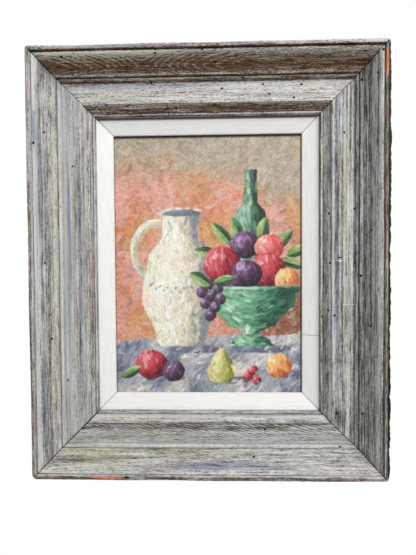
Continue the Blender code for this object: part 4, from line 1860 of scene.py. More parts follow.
@dataclass(frozen=True)
class Leaf(Motif):
    """A pointed leaf with its two halves in two tones."""

    centre: Pair = (0.0, 0.0)
    half_length: float = 16.0
    half_width: float = 6.0
    turn: float = 0.0

    def local(self, x: Array, z: Array) -> tuple[Array, Array]:
        """Places along and across the leaf."""
        right, up = x - self.centre[0], z - self.centre[1]
        along = right * math.cos(self.turn) + up * math.sin(self.turn)
        return along, up * math.cos(self.turn) - right * math.sin(self.turn)

    def covers(self, x: Array, z: Array) -> Array:
        """Whether points are on the leaf."""
        along, across = self.local(x, z)
        share = along / self.half_length
        return np.abs(across) < self.half_width * np.clip(1 - share**2, 0, 1) ** 0.8

    def tone(self, x: Array, z: Array) -> Array:
        """One half lighter than the other."""
        along, across = self.local(x, z)
        return 0.5 + 0.35 * np.tanh(across / 2) + 0.15 * along / self.half_length

    def heading(self, x: float, z: float) -> float:
        """Along the leaf."""
        return self.turn

    def box(self) -> Box:
        """A square round the leaf."""
        (x, z), reach = self.centre, self.half_length
        return x - reach, x + reach, z - reach, z + reach


@dataclass(frozen=True)
class Loop(Round):
    """The jug's handle: a thick part of an ellipse."""

    thickness: float = 8.0

    def ring(self, x: Array, z: Array) -> Array:
        """How far out from the middle line points are, in millimetres."""
        return (np.hypot(*self.local(x, z)) - 1) * min(self.radii)

    def covers(self, x: Array, z: Array) -> Array:
        """Whether points are on the handle, which is the ellipse's left part."""
        return (np.abs(self.ring(x, z)) < self.thickness / 2) & (x < self.centre[0] + 6)

    def tone(self, x: Array, z: Array) -> Array:
        """Light outside and dark inside."""
        return 0.55 + 0.5 * self.ring(x, z) / self.thickness + 0.003 * (z - self.centre[1])

    def heading(self, x: float, z: float) -> float:
        """Along the handle."""
        right = (x - self.centre[0]) / self.radii[0] ** 2
        up = (z - self.centre[1]) / self.radii[1] ** 2
        return math.atan2(right, -up)

    def box(self) -> Box:
        """The ellipse's box with the handle's thickness."""
        (x, z), (wide, high) = self.centre, self.radii
        reach = self.thickness / 2
        return x - wide - reach, x + 8, z - high - reach, z + high + reach


@dataclass(frozen=True)
class Wall(Motif):
    """The wall behind: stone grey above, salmon, pink and ochre below, brown on the right."""

    rough: Speckle = Speckle(5)

    def covers(self, x: Array, z: Array) -> Array:
        """Everywhere."""
        return np.ones(np.broadcast(x, z).shape, bool)

    def heading(self, x: float, z: float) -> float:
        """Slanting both ways in patches."""
        return 0.9 + 2.2 * float(self.rough.at(np.array(x / 50), np.array(z / 50)))

    def box(self) -> Box:
        """The whole canvas."""
        wide, high = CANVAS_HALF[0] / MM, CANVAS_HALF[1] / MM
        return -wide, wide, -high, high

    def colour(self, x: float, z: float, shift: float) -> Array:
        """Blends the wall's seven colours by place, each over the ones before it."""
        shades = [np.array(to_linear(name)[:3]) for name in self.palette]
        stone, salmon, orange, rose, brown, pink, ochre = shades
        cloud = float(self.rough.layered(np.array(x / 60 + 20), np.array(z / 60), 3))
        patch = float(self.rough.layered(np.array(x / 34 + 70), np.array(z / 42), 3))
        high = float(smooth_step(np.array(z + 30 * cloud + 0.15 * x), 105, 165))
        right = float(smooth_step(np.array(x + 40 * cloud), 20, 110))
        low = float(smooth_step(np.array(z + 25 * cloud - 0.35 * x), -55, -120))
        made = salmon
        for shade, share in (
            (orange, np.clip(0.35 + 2.4 * cloud, 0, 1) * (1 - right)),
            (rose, 0.75 * right),
            (pink, np.clip(2.4 * patch, 0, 0.75)),
            (ochre, np.clip(-2.4 * patch - 0.15, 0, 0.65)),
            (brown, low * right),
            (stone, np.clip(high + max(0.0, shift * 2 - 0.10) * 1.2, 0, 1)),
        ):
            made = made + (shade - made) * share
        return made * (1 + 0.8 * shift)


@dataclass(frozen=True)
class TableCloth(Motif):
    """The cloth on the table: slanting blue-grey folds with cream and lilac lights."""

    edge: float = -112.0
    rough: Speckle = Speckle(6)

    def covers(self, x: Array, z: Array) -> Array:
        """Whether points are below the table's far edge."""
        return z < self.edge + 0.05 * x + 3 * np.sin(x / 23)

    def tone(self, x: Array, z: Array) -> Array:
        """Light and dark folds, running down to the left."""
        fold = np.sin((x - 0.8 * z) / 15 + 2 * self.rough.at(x / 50, z / 50))
        return 0.50 + 0.28 * fold + 0.25 * self.rough.at(x / 18, z / 18)

    def heading(self, x: float, z: float) -> float:
        """Down to the left."""
        return 0.85 + 0.5 * float(self.rough.at(np.array(x / 30), np.array(z / 30)))

    def box(self) -> Box:
        """The canvas below the table's edge."""
        wide, high = CANVAS_HALF[0] / MM, CANVAS_HALF[1] / MM
        return -wide, wide, -high, self.edge + 12


class Painter:
    """Lays strokes of thick paint over a fine grid: colour, thickness and bristle marks.

    Step is the grid's cell, hair how far apart the brush's bunches of hair are, wobble how far
    the hand strays from an outline, and break what parts two strokes' bristle marks, all in
    millimetres. Hairs is how many bunches there are, and toned the colour of the ground.
    """

    STEP = 0.45
    HAIR = 1.3
    HAIRS = 64
    WOBBLE = 1.5
    BREAK = 1.5
    TONED = "#b98a72"

    def __init__(self, half: Pair, seed: int) -> None:
        """Prepares an empty canvas.

        Args:
            half: Half its width and height, in millimetres.
            seed: Seed of every stroke's chance part.
        """
        self.half = half
        self.chance = np.random.default_rng(seed)
        shape = [math.ceil(2 * h / self.STEP) + 1 for h in half]
        self.hue = np.tile(np.array(to_linear(self.TONED)[:3]), (*shape, 1))
        self.load = np.full(shape, 0.05)
        self.combed = np.zeros((*shape, 2))
        columns, rows = (np.arange(count) * self.STEP for count in shape)
        hand = Speckle(seed)
        self.stray = [
            self.WOBBLE * hand.layered(columns[:, None] / 9 + far, rows[None, :] / 9, 3)
            for far in (0, 500)
        ]

    def grid(self, x: float, z: float, reach: float) -> tuple[slice, slice, Array, Array]:
        """The part of the canvas within reach of a point, and its places."""
        shape = self.load.shape
        low = [int((c + h - reach) / self.STEP) for c, h in zip((x, z), self.half)]
        high = [int((c + h + reach) / self.STEP) + 2 for c, h in zip((x, z), self.half)]
        spans = [slice(max(0, a), min(n, max(b, 0))) for a, b, n in zip(low, high, shape)]
        places = [np.arange(s.start, s.stop) * self.STEP - h for s, h in zip(spans, self.half)]
        return spans[0], spans[1], places[0][:, None] - x, places[1][None, :] - z

    def stroke(
        self,
        at: Pair,
        heading: float,
        touch: Touch,
        colour: Array,
        scale: float = 1.0,
        within: Motif | None = None,
    ) -> None:
        """Lays one stroke.

        Args:
            at: Its middle, in millimetres from the picture's centre.
            heading: Which way it runs, in radians.
            touch: Its size and thickness.
            colour: Its colour, linear.
            scale: Its size as a share of the touch's.
            within: The motif at whose outline the stroke is cut, give or take the hand's wobble.
        """
        chance = self.chance
        length = touch.length * scale * chance.uniform(0.7, 1.25)
        half = touch.width * scale * chance.uniform(0.75, 1.2) / 2
        load = touch.load * chance.uniform(0.5, 1.4)
        columns, rows, right, up = self.grid(*at, length / 2 + half)
        if columns.start >= columns.stop or rows.start >= rows.stop:
            return
        along = right * math.cos(heading) + up * math.sin(heading)
        bend = touch.bend * chance.uniform(-1, 1)
        across = up * math.cos(heading) - right * math.sin(heading) - bend * along**2 / length
        progress = along / length + 0.5
        taper = np.sqrt(np.clip(1 - np.abs(2 * progress - 1) ** 3.5, 0, 1))
        side = np.abs(across) / np.maximum(half * taper, 1e-6)
        hairs = chance.uniform(-1, 1, self.HAIRS)
        hair = np.interp(across / self.HAIR + self.HAIRS / 2, np.arange(self.HAIRS), hairs)
        # The paint runs out towards the stroke's end, sooner under some hairs
        dry = np.clip(2.1 + 0.7 * hair - 2.1 * progress, 0, 1)
        cover = np.clip((1 - side) * 4, 0, 1) * dry
        if within is not None:
            astray = [stray[columns, rows] for stray in self.stray]
            cover = cover * within.covers(right + at[0] + astray[0], up + at[1] + astray[1])
        # Ridges are pushed up along both sides and at the end
        thick = load * (0.55 + 0.35 * hair + 0.50 * np.exp(-(((side - 0.8) / 0.15) ** 2)))
        thick = thick + load * 0.8 * np.exp(-(((progress - 0.93) / 0.06) ** 2)) * (side < 1)
        under = self.hue[columns, rows]
        streaky = within.hair if within is not None else 0.15
        tone = 1 + streaky * hair[..., None] + 0.05 * (thick / max(load, 1e-6) - 0.6)[..., None]
        mixed = colour * (1 + chance.normal(0, 0.05, 3)) * np.clip(tone, 0.5, 1.5)
        # Wet paint mixes with what lies under it
        wet = np.clip(0.80 + 0.18 * hair, 0, 1)[..., None]
        share = cover[..., None] * wet
        self.hue[columns, rows] = under + (np.clip(mixed, 0, 0.95) - under) * share
        held = self.load[columns, rows]
        self.load[columns, rows] = held * (1 - 0.75 * cover) + thick * cover
        # Each stroke has a stretch of the bristle pattern to itself
        offset = chance.uniform(0, 200)
        laid = np.stack([along + offset, across + offset * 0.7], axis=-1)
        over = (cover > 0.45)[..., None]
        self.combed[columns, rows] = np.where(over, laid, self.combed[columns, rows])

    def running(self) -> Array:
        """1 where bristle marks run on, 0 within a millimetre or so of a stroke's edge."""
        broken = np.zeros(self.load.shape, bool)
        for axis in (0, 1):
            jump = np.abs(self.combed - np.roll(self.combed, 1, axis)).max(axis=-1)
            broken |= jump > self.BREAK
        for axis in (0, 1):
            broken = np.any([np.roll(broken, shift, axis) for shift in range(-2, 3)], axis=0)
        return 1.0 - broken

    def fill(
        self, motif: Motif, scale: float = 1.0, density: float = 1.0, spread: float = 0.12
    ) -> None:
        """Covers a motif with strokes that follow its form and stop at its edge.

        Args:
            motif: What is painted.
            scale: Size of the strokes as a share of the motif's touch.
            density: How many more strokes than its spacing gives.
            spread: How much the strokes' tones differ.
        """
        left, right, low, high = motif.box()
        spacing = motif.touch.spacing / math.sqrt(density)
        columns = max(1, round((right - left) / spacing))
        rows = max(1, round((high - low) / spacing))
        places = [(i, j) for i in range(columns) for j in range(rows)]
        self.chance.shuffle(places)
        for column, row in places:
            jitter = self.chance.uniform(-0.5, 0.5, 2)
            x = left + (column + 0.5 + jitter[0]) * (right - left) / columns
            z = low + (row + 0.5 + jitter[1]) * (high - low) / rows
            if not bool(motif.covers(np.array(x), np.array(z))):
                continue
            heading = motif.heading(x, z) + self.chance.normal(0, motif.touch.loose)
            colour = motif.colour(x, z, self.chance.normal(0, spread))
            self.stroke((x, z), heading, motif.touch, colour, scale, motif)

    def scumble(self, motif: Motif, colours: tuple[str, ...], touch: Touch, count: int) -> None:
        """Drags broken colour over a motif.

        Args:
            motif: What it is dragged over.
            colours: The colours, taken at random.
            touch: The strokes' size and thickness.
            count: How many strokes are tried.
        """
        left, right, low, high = motif.box()
        for _ in range(count):
            x, z = self.chance.uniform(left, right), self.chance.uniform(low, high)
            name = colours[int(self.chance.integers(len(colours)))]
            if bool(motif.covers(np.array(x), np.array(z))):
                heading = motif.heading(x, z) + self.chance.normal(0, touch.loose)
                size = self.chance.uniform(0.5, 1.2)
                self.stroke((x, z), heading, touch, np.array(to_linear(name)[:3]), size, motif)

    def dab(self, at: Pair, heading: float, colour: str, touch: Touch) -> None:
        """Lays one single touch of a named colour."""
        self.stroke(at, heading, touch, np.array(to_linear(colour)[:3]))

    def sample(self, x: Array, z: Array) -> tuple[Array, ...]:
        """Reads the finished painting at points of the canvas.

        Args:
            x: Places to the right, in millimetres from the picture's centre.
            z: Places upwards.

        Returns:
            Colour and thickness, both averaged over nine cells, the coordinates of the bristle
            marks, and where these run on.
        """
        at = []
        for value, half, count in zip((x, z), self.half, self.load.shape):
            nearest = ((value + half) / self.STEP).round().astype(int)
            at.append(np.clip(nearest, 1, count - 2))
        column, row = at
        hue, load = np.zeros((len(x), 3)), np.zeros(len(x))
        for right in (-1, 0, 1):
            for up in (-1, 0, 1):
                hue += self.hue[column + right, row + up] / 9
                load += self.load[column + right, row + up] / 9
        return hue, load, self.combed[column, row], self.running()[column, row]

class StillLife(Painter):
    """The painted picture: a jug, a bowl of fruit, a bottle and more fruit on a blue-grey cloth.

    Places and sizes are in millimetres from the picture's centre.
    """

    CREAM = ("#7f8a94", "#b3b2a4", "#d9d3bc", "#ebe5d3", "#f4f0e4")
    CRIMSON = ("#4c1828", "#8a2238", "#bc3a48", "#d4606a", "#eeb0b0")
    PINK = ("#93303f", "#c04a50", "#d96a66", "#e4908a", "#f3c6bc")
    PLUM = ("#22192a", "#3c2a3e", "#573452", "#7a5a80", "#bfa9c8")
    PEACH = ("#a0503a", "#cf7c50", "#e2a05e", "#ecc383", "#f6e6bc")
    GREEN = ("#24493c", "#376f56", "#5c9a78", "#7fb498", "#c0dcc8")
    LEAVES = ("#1f3a2c", "#335c3c", "#55804a", "#86a566", "#c0cc94")
    BOTTLE = ("#1b2a26", "#2a4438", "#3c6250", "#5c8c74", "#a9cbb4")
    PEAR = ("#667030", "#93984a", "#b4b45a", "#d0cb80", "#efe8bc")
    CLOTH = ("#60697f", "#858d9e", "#a2a7b0", "#bfc0c0", "#e2ded6")
    WALL = ("#b3a896", "#dc9c82", "#d68a64", "#c08a74", "#8c5c48", "#e3ada4", "#cf9c66")
    SHADE = ("#565a70", "#666d84", "#7f8798")

    def __init__(self) -> None:
        """Prepares the canvas."""
        super().__init__((CANVAS_HALF[0] / MM, CANVAS_HALF[1] / MM), 2024)

    def paint(self) -> None:
        """Paints from the wall forwards."""
        self.wall()
        self.cloth()
        self.bottle()
        self.jug()
        self.bowl()
        self.ground_fruit()

    def wall(self) -> None:
        """The wall, with other colours dragged over it."""
        wall = Wall(self.WALL, Touch(10.0, 28, 0.26, 8.5, 0.4, 0.6), hair=0.11)
        self.fill(wall, 1.6)
        self.fill(wall)
        broken = ("#b5a794", "#cdbca6", "#c07a60", "#e6b49c", "#9d9a86", "#cb8468", "#b08f84")
        self.scumble(wall, broken, Touch(10.0, 20, 0.25, 1, 0.5, 0.8), 300)
        self.fill(wall, 0.8, 1.1, 0.15)
        self.fill(wall, 0.6, 0.7, 0.17)

    def cloth(self) -> None:
        """The table's cloth, with cream, lilac and green lights."""
        cloth = TableCloth(self.CLOTH, Touch(7.0, 22, 0.30, 7.0, 0.2, 0.3))
        self.fill(cloth, 1.3)
        self.fill(cloth)
        broken = ("#e6e0d4", "#a79bb4", "#7f93a0", "#8c7f92", "#c3a898", "#6f7f98")
        self.scumble(cloth, broken, Touch(6.0, 16, 0.45, 1, 0.4, 0.5), 130)
        self.shadows()
        self.fill(cloth, 0.70, 0.45, 0.20)

    def shadows(self) -> None:
        """Dark strokes on the cloth under and beside the pots."""
        spots = ((84, -130, 44, 7), (-18, -130, 42, 7), (36, -178, 28, 6), (-68, -174, 32, 7))
        for x, z, wide, high in spots + ((116, -168, 24, 6),):
            shade = Round(self.SHADE, Touch(7, 16, 0.4, 4.5, 0.4, 0.5), (x, z), (wide, high))
            self.fill(shade, 1.0, 1.0, 0.25)

    def bottle(self) -> None:
        """The dark green bottle behind the bowl."""
        heights = (-80.0, 52.0, 78.0, 96.0, 136.0, 144.0)
        widths = (27.0, 28.0, 23.0, 10.5, 9.0, 10.5)
        body = Turned(self.BOTTLE, Touch(6.5, 24, 0.35, 4.5, 0.1, 0.12), 66.0, heights, widths)
        self.fill(body, 1.2)
        self.fill(body)
        self.fill(body, 0.6, 0.9, 0.16)
        lights = ((52, 62, 1.45, 20), (51, 40, 1.57, 24), (61, 116, 1.57, 22), (61, 134, 1.57, 10))
        for x, z, turn, long in lights:
            self.dab((x, z), turn, "#bcd6c2", Touch(3.4, long, 0.9, 1))
        self.dab((74, 118), 1.57, "#5f8f74", Touch(3.0, 26, 0.6, 1))

    def jug(self) -> None:
        """The cream jug with its handle and spout."""
        heights = (-126.0, -116.0, -50.0, 10.0, 48.0, 70.0, 80.0)
        widths = (32.0, 38.0, 60.0, 50.0, 27.0, 28.0, 36.0)
        grip = Touch(5.5, 15, 0.5, 3.4, 0.2, 0.15)
        handle = Loop(self.CREAM, grip, (-78.0, 22.0), (36.0, 42.0), 11.0)
        self.fill(handle, 1.1)
        self.fill(handle)
        body = Turned(self.CREAM, Touch(9.0, 24, 0.55, 6.0, 0.25, 0.3), -42.0, heights, widths)
        self.fill(body, 1.3)
        self.fill(body)
        broken = ("#c9c2d0", "#e6cfc0", "#b9c4c0", "#f3e6c8", "#a9b3bd")
        self.scumble(body, broken, Touch(7.0, 17, 0.6, 1, 0.4, 0.4), 60)
        self.fill(body, 0.55, 0.9, 0.20)
        dark = ("#62697c", "#7d8794", "#9aa0a4")
        mouth = Round(dark, Touch(4, 16, 0.3, 3.2, 0.1, 0.1), (-42.0, 79.5), (31.0, 5.5))
        self.fill(mouth)
        self.fill(mouth)
        rim = ((-68, 81, 0.5), (-58, 85, 0.2), (-44, 86, 0.0), (-30, 85.5, -0.05), (-14, 83.5, -0.2))
        for x, z, turn in rim:
            self.dab((x, z), turn, "#f2eee0", Touch(4.2, 14, 0.9, 1, 0.05))
        self.lights_on_jug()

    def lights_on_jug(self) -> None:
        """Thick lights, cool half tones and a band of blue sprigs."""
        lights = ((-66, -20, 1.35), (-72, -48, 1.55), (-60, 22, 1.2), (-62, -76, 1.75))
        for x, z, turn in lights + ((-50, 50, 1.5), (-56, -100, 1.8), (-76, -34, 1.5)):
            self.dab((x, z), turn, "#faf7ec", Touch(8.5, 22, 1.2, 1, 0.2))
        for x, z, turn in ((4, -30, 1.6), (6, -58, 1.5), (-6, 8, 1.9), (-4, -90, 1.35)):
            self.dab((x, z), turn, "#8d9aa6", Touch(7.5, 22, 0.6, 1, 0.2))
        for step in range(8):
            x = -86 + step * 12.5
            z = -36 + 0.0035 * (x + 42) ** 2
            self.dab((x, z), 0.7 - 0.2 * step, "#62789a", Touch(4.0, 9, 0.7, 1, 0.4))
            self.dab((x + 5, z - 6), 2.2, "#7c95ae", Touch(3.4, 7, 0.6, 1, 0.4))

    def fruit(self, palette: tuple[str, ...], centre: Pair, radii: Pair) -> None:
        """One fruit in three layers, with broken colour and a thick light."""
        touch = Touch(7.0, 0.85 * radii[0], 0.65, 4.6, 0.3, 0.25)
        body = Round(palette, touch, centre, radii)
        self.fill(body, 1.2)
        self.fill(body)
        self.scumble(body, palette[1:4], Touch(4.5, 10, 0.7, 1, 0.4, 0.4), 14)
        self.fill(body, 0.6, 0.8, 0.15)
        x, z = centre[0] - radii[0] * 0.38, centre[1] + radii[1] * 0.42
        size = 0.26 * radii[0]
        self.dab((x, z), 0.7, palette[-1], Touch(size, 1.8 * size, 1.3, 1, 0.2))
        self.dab((x + size, z - size), 2.2, palette[-2], Touch(size, 1.8 * size, 0.9, 1))

    def bowl(self) -> None:
        """The green footed bowl, heaped with apples, plums, a peach, grapes and leaves."""
        dark = ("#2a3a38", "#33504a", "#40665a")
        hollow = Round(dark, Touch(6, 16, 0.3, 4, 0.2), (66, -28), (72, 14))
        self.fill(hollow)
        leaves = ((22, 46, 2.3, 24), (112, 34, 0.8, 25), (130, 2, -0.3, 22), (0, 18, 2.9, 21))
        for x, z, turn, reach in leaves + ((84, 52, 1.3, 21), (44, 54, 1.9, 19), (136, 20, 0.4, 17)):
            self.leaf((x, z), reach, 9.0, turn)
        self.fruit(self.PLUM, (57, 30), (23, 21))
        self.fruit(self.PINK, (94, 26), (22, 20))
        self.fruit(self.CRIMSON, (22, 0), (29, 28))
        self.fruit(self.CRIMSON, (92, -8), (27, 26))
        self.fruit(self.PLUM, (60, -14), (23, 21))
        self.fruit(self.PEACH, (121, -24), (19, 18))
        self.fruit(self.PLUM, (40, -30), (16, 15))
        heights = (-126.0, -119.0, -104.0, -92.0, -62.0, -34.0)
        widths = (36.0, 30.0, 13.0, 38.0, 66.0, 76.0)
        touch = Touch(8.0, 24, 0.5, 5.5, 0.3, 0.2)
        body = Turned(self.GREEN, touch, 66.0, heights, widths, False)
        self.fill(body, 1.2)
        self.fill(body)
        broken = ("#8fbfa6", "#4a8468", "#a9c8c0", "#6f9f90", "#3a6456")
        self.scumble(body, broken, Touch(6.0, 18, 0.6, 1, 0.3, 0.3), 70)
        self.fill(body, 0.6, 0.9, 0.20)
        for step in range(10):
            x = -2 + step * 15
            z = -33 - 3.4 * math.sin(math.pi * step / 9)
            tint = "#b4d6c0" if step < 6 else "#7fae94"
            self.dab((x, z), 0.12 - 0.027 * step, tint, Touch(4.6, 19, 0.9, 1, 0.1))
        for x, z, turn in ((20, -54, -0.7), (32, -70, -0.6), (46, -85, -0.45), (60, -99, 1.5)):
            self.dab((x, z), turn, "#d2e8d4", Touch(6.5, 17, 1.1, 1, 0.2))
        self.grapes()

    def leaf(self, centre: Pair, reach: float, half_width: float, turn: float) -> None:
        """A leaf in two layers with its pale vein."""
        touch = Touch(4.5, 0.8 * reach, 0.6, 3.2, 0.15, 0.15)
        body = Leaf(self.LEAVES, touch, centre, reach, half_width, turn)
        self.fill(body, 1.1)
        self.fill(body)
        self.dab(centre, turn, "#a9bb7c", Touch(1.8, 1.5 * reach, 0.5, 1, 0.05))

    def grapes(self) -> None:
        """A bunch of dark grapes hanging over the bowl's rim, with a leaf."""
        berry = Touch(5.0, 9, 0.6, 3.6, 0.4, 0.3)
        spots = ((2, -30), (15, -37), (-9, -42), (5, -48), (19, -53), (-4, -59), (10, -65), (3, -78))
        for x, z in spots:
            self.fill(Round(self.PLUM, berry, (x, z), (9.0, 9.0)))
            self.fill(Round(self.PLUM, berry, (x, z), (9.0, 9.0)), 0.8)
            self.dab((x - 3, z + 3.5), 0.6, "#b8a4c8", Touch(3.2, 5, 1.0, 1, 0.2))
        self.leaf((-12, -22), 19, 8.5, 2.6)
        self.leaf((24, -24), 17, 7.5, 0.25)

    def ground_fruit(self) -> None:
        """The pear, apples, a plum and cherries on the cloth."""
        heights = (-182.0, -178.0, -164.0, -148.0, -136.0, -128.0)
        widths = (11.0, 18.0, 22.5, 16.0, 9.0, 4.0)
        pear = Turned(self.PEAR, Touch(6.5, 17, 0.6, 4.2, 0.3, 0.3), 20.0, heights, widths)
        self.fill(pear, 1.2)
        self.fill(pear)
        self.scumble(pear, ("#d8b070", "#a8b064", "#e6dca0"), Touch(5, 12, 0.6, 1, 0.3), 25)
        self.dab((11, -160), 1.45, "#f4efc4", Touch(5.5, 14, 1.2, 1, 0.2))
        self.dab((22, -124), 1.2, "#4a3324", Touch(2.8, 12, 0.8, 1, 0.2))
        self.fruit(self.PEACH, (108, -156), (20, 19))
        self.fruit(self.CRIMSON, (-88, -154), (25, 23))
        self.fruit(self.PLUM, (-54, -164), (17, 16))
        self.dab((-86, -131), 1.3, "#4a3324", Touch(2.8, 11, 0.8, 1, 0.2))
        self.leaf((-120, -166), 18, 7.5, 0.5)
        for x, z in ((60, -172), (74, -178), (68, -163)):
            cherry = Round(self.CRIMSON, Touch(5, 8, 0.6, 3.4, 0.4, 0.3), (x, z), (8.0, 7.5))
            self.fill(cherry)
            self.fill(cherry, 0.8)
            self.dab((x - 2.5, z + 2.5), 0.6, "#f0b6ac", Touch(2.8, 4, 1.0, 1))


@dataclass
class Canvas:
    """The stretched linen with its painted face."""

    cloth_thickness: float = 0.45 * MM
    wall: float = 1.0 * MM
    turnover: float = 14.0 * MM
    film_back_off: float = 0.50 * MM
    film_face_off: float = 0.12 * MM
    cell: float = 1.19 * MM
    lip_back: float = 25.5 * MM
    thickest: float = 1.6 * MM
    # Colour of the dirt and painted shadow along the picture's edges under the liner's lip
    soot_and_shadow_colour: str = "#1e1613"

    def build(self, bars: list[Piece]) -> None:
        """Makes the cloth and the paint film.

        Args:
            bars: What the cloth is stretched over; not used.
        """
        film = self.film()
        cloth = self.cloth()

    def film(self) -> Piece:
        """The paint: a thin slab whose face carries the strokes."""
        picture = StillLife()
        picture.paint()
        half = [h - 0.4 * MM for h in CANVAS_HALF]
        counts = [math.floor(2 * h / self.cell) for h in half]
        shape = bmesh.new()
        bmesh.ops.create_grid(shape, x_segments=counts[0], y_segments=counts[1], size=1)
        flat = np.array([vertex.co for vertex in shape.verts])
        x, z = flat[:, 0] * half[0], flat[:, 1] * half[1]
        hue, load, combed, running = picture.sample(x / MM, z / MM)
        # Dirt and painted shadow under the liner's lip darken the picture's edges
        hue = hue + (np.array(to_linear(self.soot_and_shadow_colour)[:3]) - hue) * self.soot_and_shadow(x, z)[:, None]
        shown = self.shown_share(x, z)
        relief = np.minimum(load * MM, self.thickest) * (0.15 + 0.85 * shown)
        depth = CANVAS_FRONT - self.film_face_off + relief
        depth = np.where(shown < 0.5, np.minimum(depth, self.lip_back - 0.12 * MM), depth)
        facts = {"hue": hue, "load": load * MM}
        facts |= {"combed": np.column_stack([combed * MM, 0 * x]), "running": running}
        mesh = new_mesh("paint_film", shape)
        slab = reopened(mesh, np.column_stack([x, -depth, z + CENTRE_HEIGHT]), facts)
        turned = bmesh.ops.extrude_edge_only(slab, edges=rim_of(slab))["geom"]
        for vertex in (part for part in turned if isinstance(part, bmesh.types.BMVert)):
            vertex.co.y = -(CANVAS_FRONT - self.film_back_off)
        close(slab, mesh)
        made = make_object("paint_film", mesh, OilPaint().build())
        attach(made, "root")
        report(made)
        return made

    @staticmethod
    def shown_share(x: Array, z: Array) -> Array:
        """1 well inside the sight opening, falling to 0 just before its edge."""
        inside = np.minimum(SIGHT_HALF[0] - np.abs(x), SIGHT_HALF[1] - np.abs(z))
        return smooth_step(inside, 0.6 * MM, 2.0 * MM)

    @staticmethod
    def soot_and_shadow(x: Array, z: Array) -> Array:
        """How dark the dirt and painted shadow against the liner's lip are: widest at the top, least on
        the left.
        """
        edges = (
            (SIGHT_HALF[1] - z, 0.97, 4.4, 2.8),
            (SIGHT_HALF[1] - z, 0.30, 6.5, 2.5),
            (SIGHT_HALF[0] - x, 0.75, 2.6, 1.2),
            (SIGHT_HALF[0] + x, 0.40, 2.2, 1.0),
        )
        shares = [most * smooth_step(off, far * MM, near * MM) for off, most, far, near in edges]
        return np.max(shares, axis=0)

    def cloth(self) -> Piece:
        """The linen: its face, its sides and the margin folded on to the strainer's back."""
        inner = self.wall - self.cloth_thickness
        half = [h - inner * 0.5 for h in CANVAS_HALF]
        face = CANVAS_FRONT - self.film_back_off - 0.02 * MM
        back = CANVAS_BACK + 0.05 * MM
        shape = bmesh.new()
        bmesh.ops.create_grid(shape, x_segments=60, y_segments=80, size=1)
        for vertex in shape.verts:
            x, z = vertex.co.x * half[0], vertex.co.y * half[1]
            vertex.co = Vector((x, -face, z + CENTRE_HEIGHT))
        self.fold(shape, (0, face - back, 0))
        self.fold(shape, None)
        bmesh.ops.recalc_face_normals(shape, faces=shape.faces)
        bmesh.ops.solidify(shape, geom=shape.faces, thickness=self.cloth_thickness)
        bmesh.ops.recalc_face_normals(shape, faces=shape.faces)
        mesh = new_mesh("canvas_cloth", shape)
        points = np.zeros(len(mesh.vertices) * 3)
        mesh.vertices.foreach_get("co", points)
        x, y, z = points.reshape(-1, 3).T
        give_attribute(mesh, "laid", np.column_stack([x + 0.5 * y, z + 0.5 * y, 0 * x]))
        made = make_object("canvas_cloth", mesh, Linen().build())
        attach(made, "root")
        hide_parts("canvas")
        report(made)
        return made

    def fold(self, shape: bmesh.types.BMesh, shift: Triple | None) -> None:
        """Turns the cloth's rim on: straight back by a shift, or in over the strainer."""
        turned = bmesh.ops.extrude_edge_only(shape, edges=rim_of(shape))["geom"]
        corners = [part for part in turned if isinstance(part, bmesh.types.BMVert)]
        if shift is not None:
            bmesh.ops.translate(shape, vec=shift, verts=corners)
            return
        wide = max(abs(v.co.x) for v in corners)
        high = max(abs(v.co.z - CENTRE_HEIGHT) for v in corners)
        for vertex in corners:
            up = vertex.co.z - CENTRE_HEIGHT
            vertex.co.x *= (wide - self.turnover) / wide
            vertex.co.z = CENTRE_HEIGHT + up * (high - self.turnover) / high


def dress_brads() -> None:
    """Gives the sixteen brads, whose solids have the right shape, their steel."""
    steel = DrawnSteel().build()
    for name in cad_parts:
        if "brad" in name:
            made = bpy.data.objects[name]
            made.data.materials.clear()
            made.data.materials.append(steel)
            log.info("%s: steel", name)


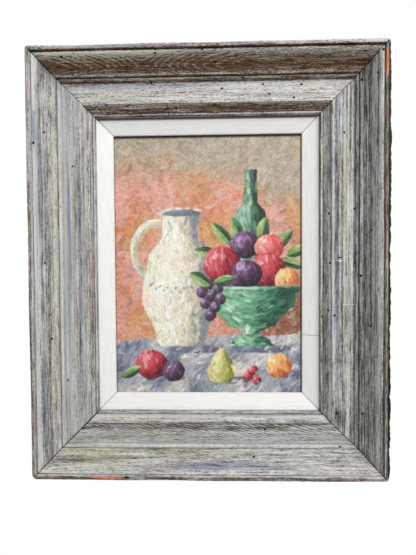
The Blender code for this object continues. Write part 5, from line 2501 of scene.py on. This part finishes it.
@dataclass(frozen=True)
class Studio:
    """A white studio: soft light from the upper right, a pale floor well below, a camera."""

    floor_height: float = -1.75
    floor_half: float = 1.2
    floor_thickness: float = 0.02
    floor_front: float = -0.35
    fill: float = 0.61
    key_place: Triple = (0.85, -1.10, 0.95)
    key_size: float = 0.9
    key_power: float = 23.5
    back_place: Triple = (-0.6, 1.3, 0.5)
    back_size: float = 1.2
    back_power: float = 8.0
    camera_place: Triple = (0.01648, -0.63936, -0.25239)
    camera_turn: Triple = (88.511, 0.395, 1.525)
    focal_pixels: float = 400.0
    sensor: float = 36.0

    def build(self) -> None:
        """Makes the floor, the lights, the surroundings and the camera."""
        self.floor()
        self.light("key_light", self.key_place, self.key_power, self.key_size)
        self.light("back_light", self.back_place, self.back_power, self.back_size)
        self.surroundings()
        self.camera()

    def floor(self) -> None:
        """The pale floor, a shallow slab."""
        shape = bmesh.new()
        bmesh.ops.create_cube(shape, size=1)
        width = 2 * self.floor_half
        size = (width, width, self.floor_thickness)
        bmesh.ops.scale(shape, vec=size, verts=shape.verts)
        middle = (0, self.floor_front, self.floor_height - self.floor_thickness / 2)
        bmesh.ops.translate(shape, vec=middle, verts=shape.verts)
        floor = new_mesh("studio_floor", shape)
        made = make_object("studio_floor", floor, StudioFloor().build())
        made.data.shade_flat()

    @staticmethod
    def light(name: str, place: Triple, power: float, size: float) -> None:
        """Adds a square soft light that points at the picture."""
        data = bpy.data.lights.new(name, "AREA")
        data.energy = power
        data.size = size
        made = bpy.data.objects.new(name, data)
        made.location = place
        towards = Vector((0, 0, CENTRE_HEIGHT)) - Vector(place)
        made.rotation_euler = towards.to_track_quat("-Z", "Y").to_euler()
        bpy.context.scene.collection.objects.link(made)

    def surroundings(self) -> None:
        """White surroundings: plain white to the eye, and dimmer as a fill light."""
        world = bpy.data.worlds.new("studio")
        bpy.context.scene.world = world
        world.use_nodes = True
        tree = world.node_tree
        tree.nodes.clear()
        seen = add_node(tree, "LightPath").outputs["Is Camera Ray"]
        level = add_node(tree, "Mix", {0: seen, 2: self.fill, 3: 1.0}, data_type="FLOAT").outputs[0]
        shade = add_node(tree, "Background", {0: to_linear("#ffffff"), 1: level})
        add_node(tree, "OutputWorld", {0: shade.outputs[0]})
        bpy.context.scene.view_settings.view_transform = "Standard"

    def camera(self) -> None:
        """The camera, where the photographer stood."""
        data = bpy.data.cameras.new("camera")
        data.sensor_width = self.sensor
        data.lens = self.focal_pixels / IMAGE_HEIGHT * self.sensor
        data.clip_start = 0.01
        made = bpy.data.objects.new("camera", data)
        made.location = self.camera_place
        made.rotation_euler = [math.radians(angle) for angle in self.camera_turn]
        bpy.context.scene.collection.objects.link(made)
        bpy.context.scene.camera = made


def main() -> None:
    """Builds the picture in order and reports each piece."""
    logging.basicConfig(level=logging.INFO, format="%(name)s: %(message)s")
    Frame().build()
    Liner().build()
    bars = Strainer().build()
    Canvas().build(bars)
    dress_brads()
    Studio().build()


if __name__ == "__main__":
    main()
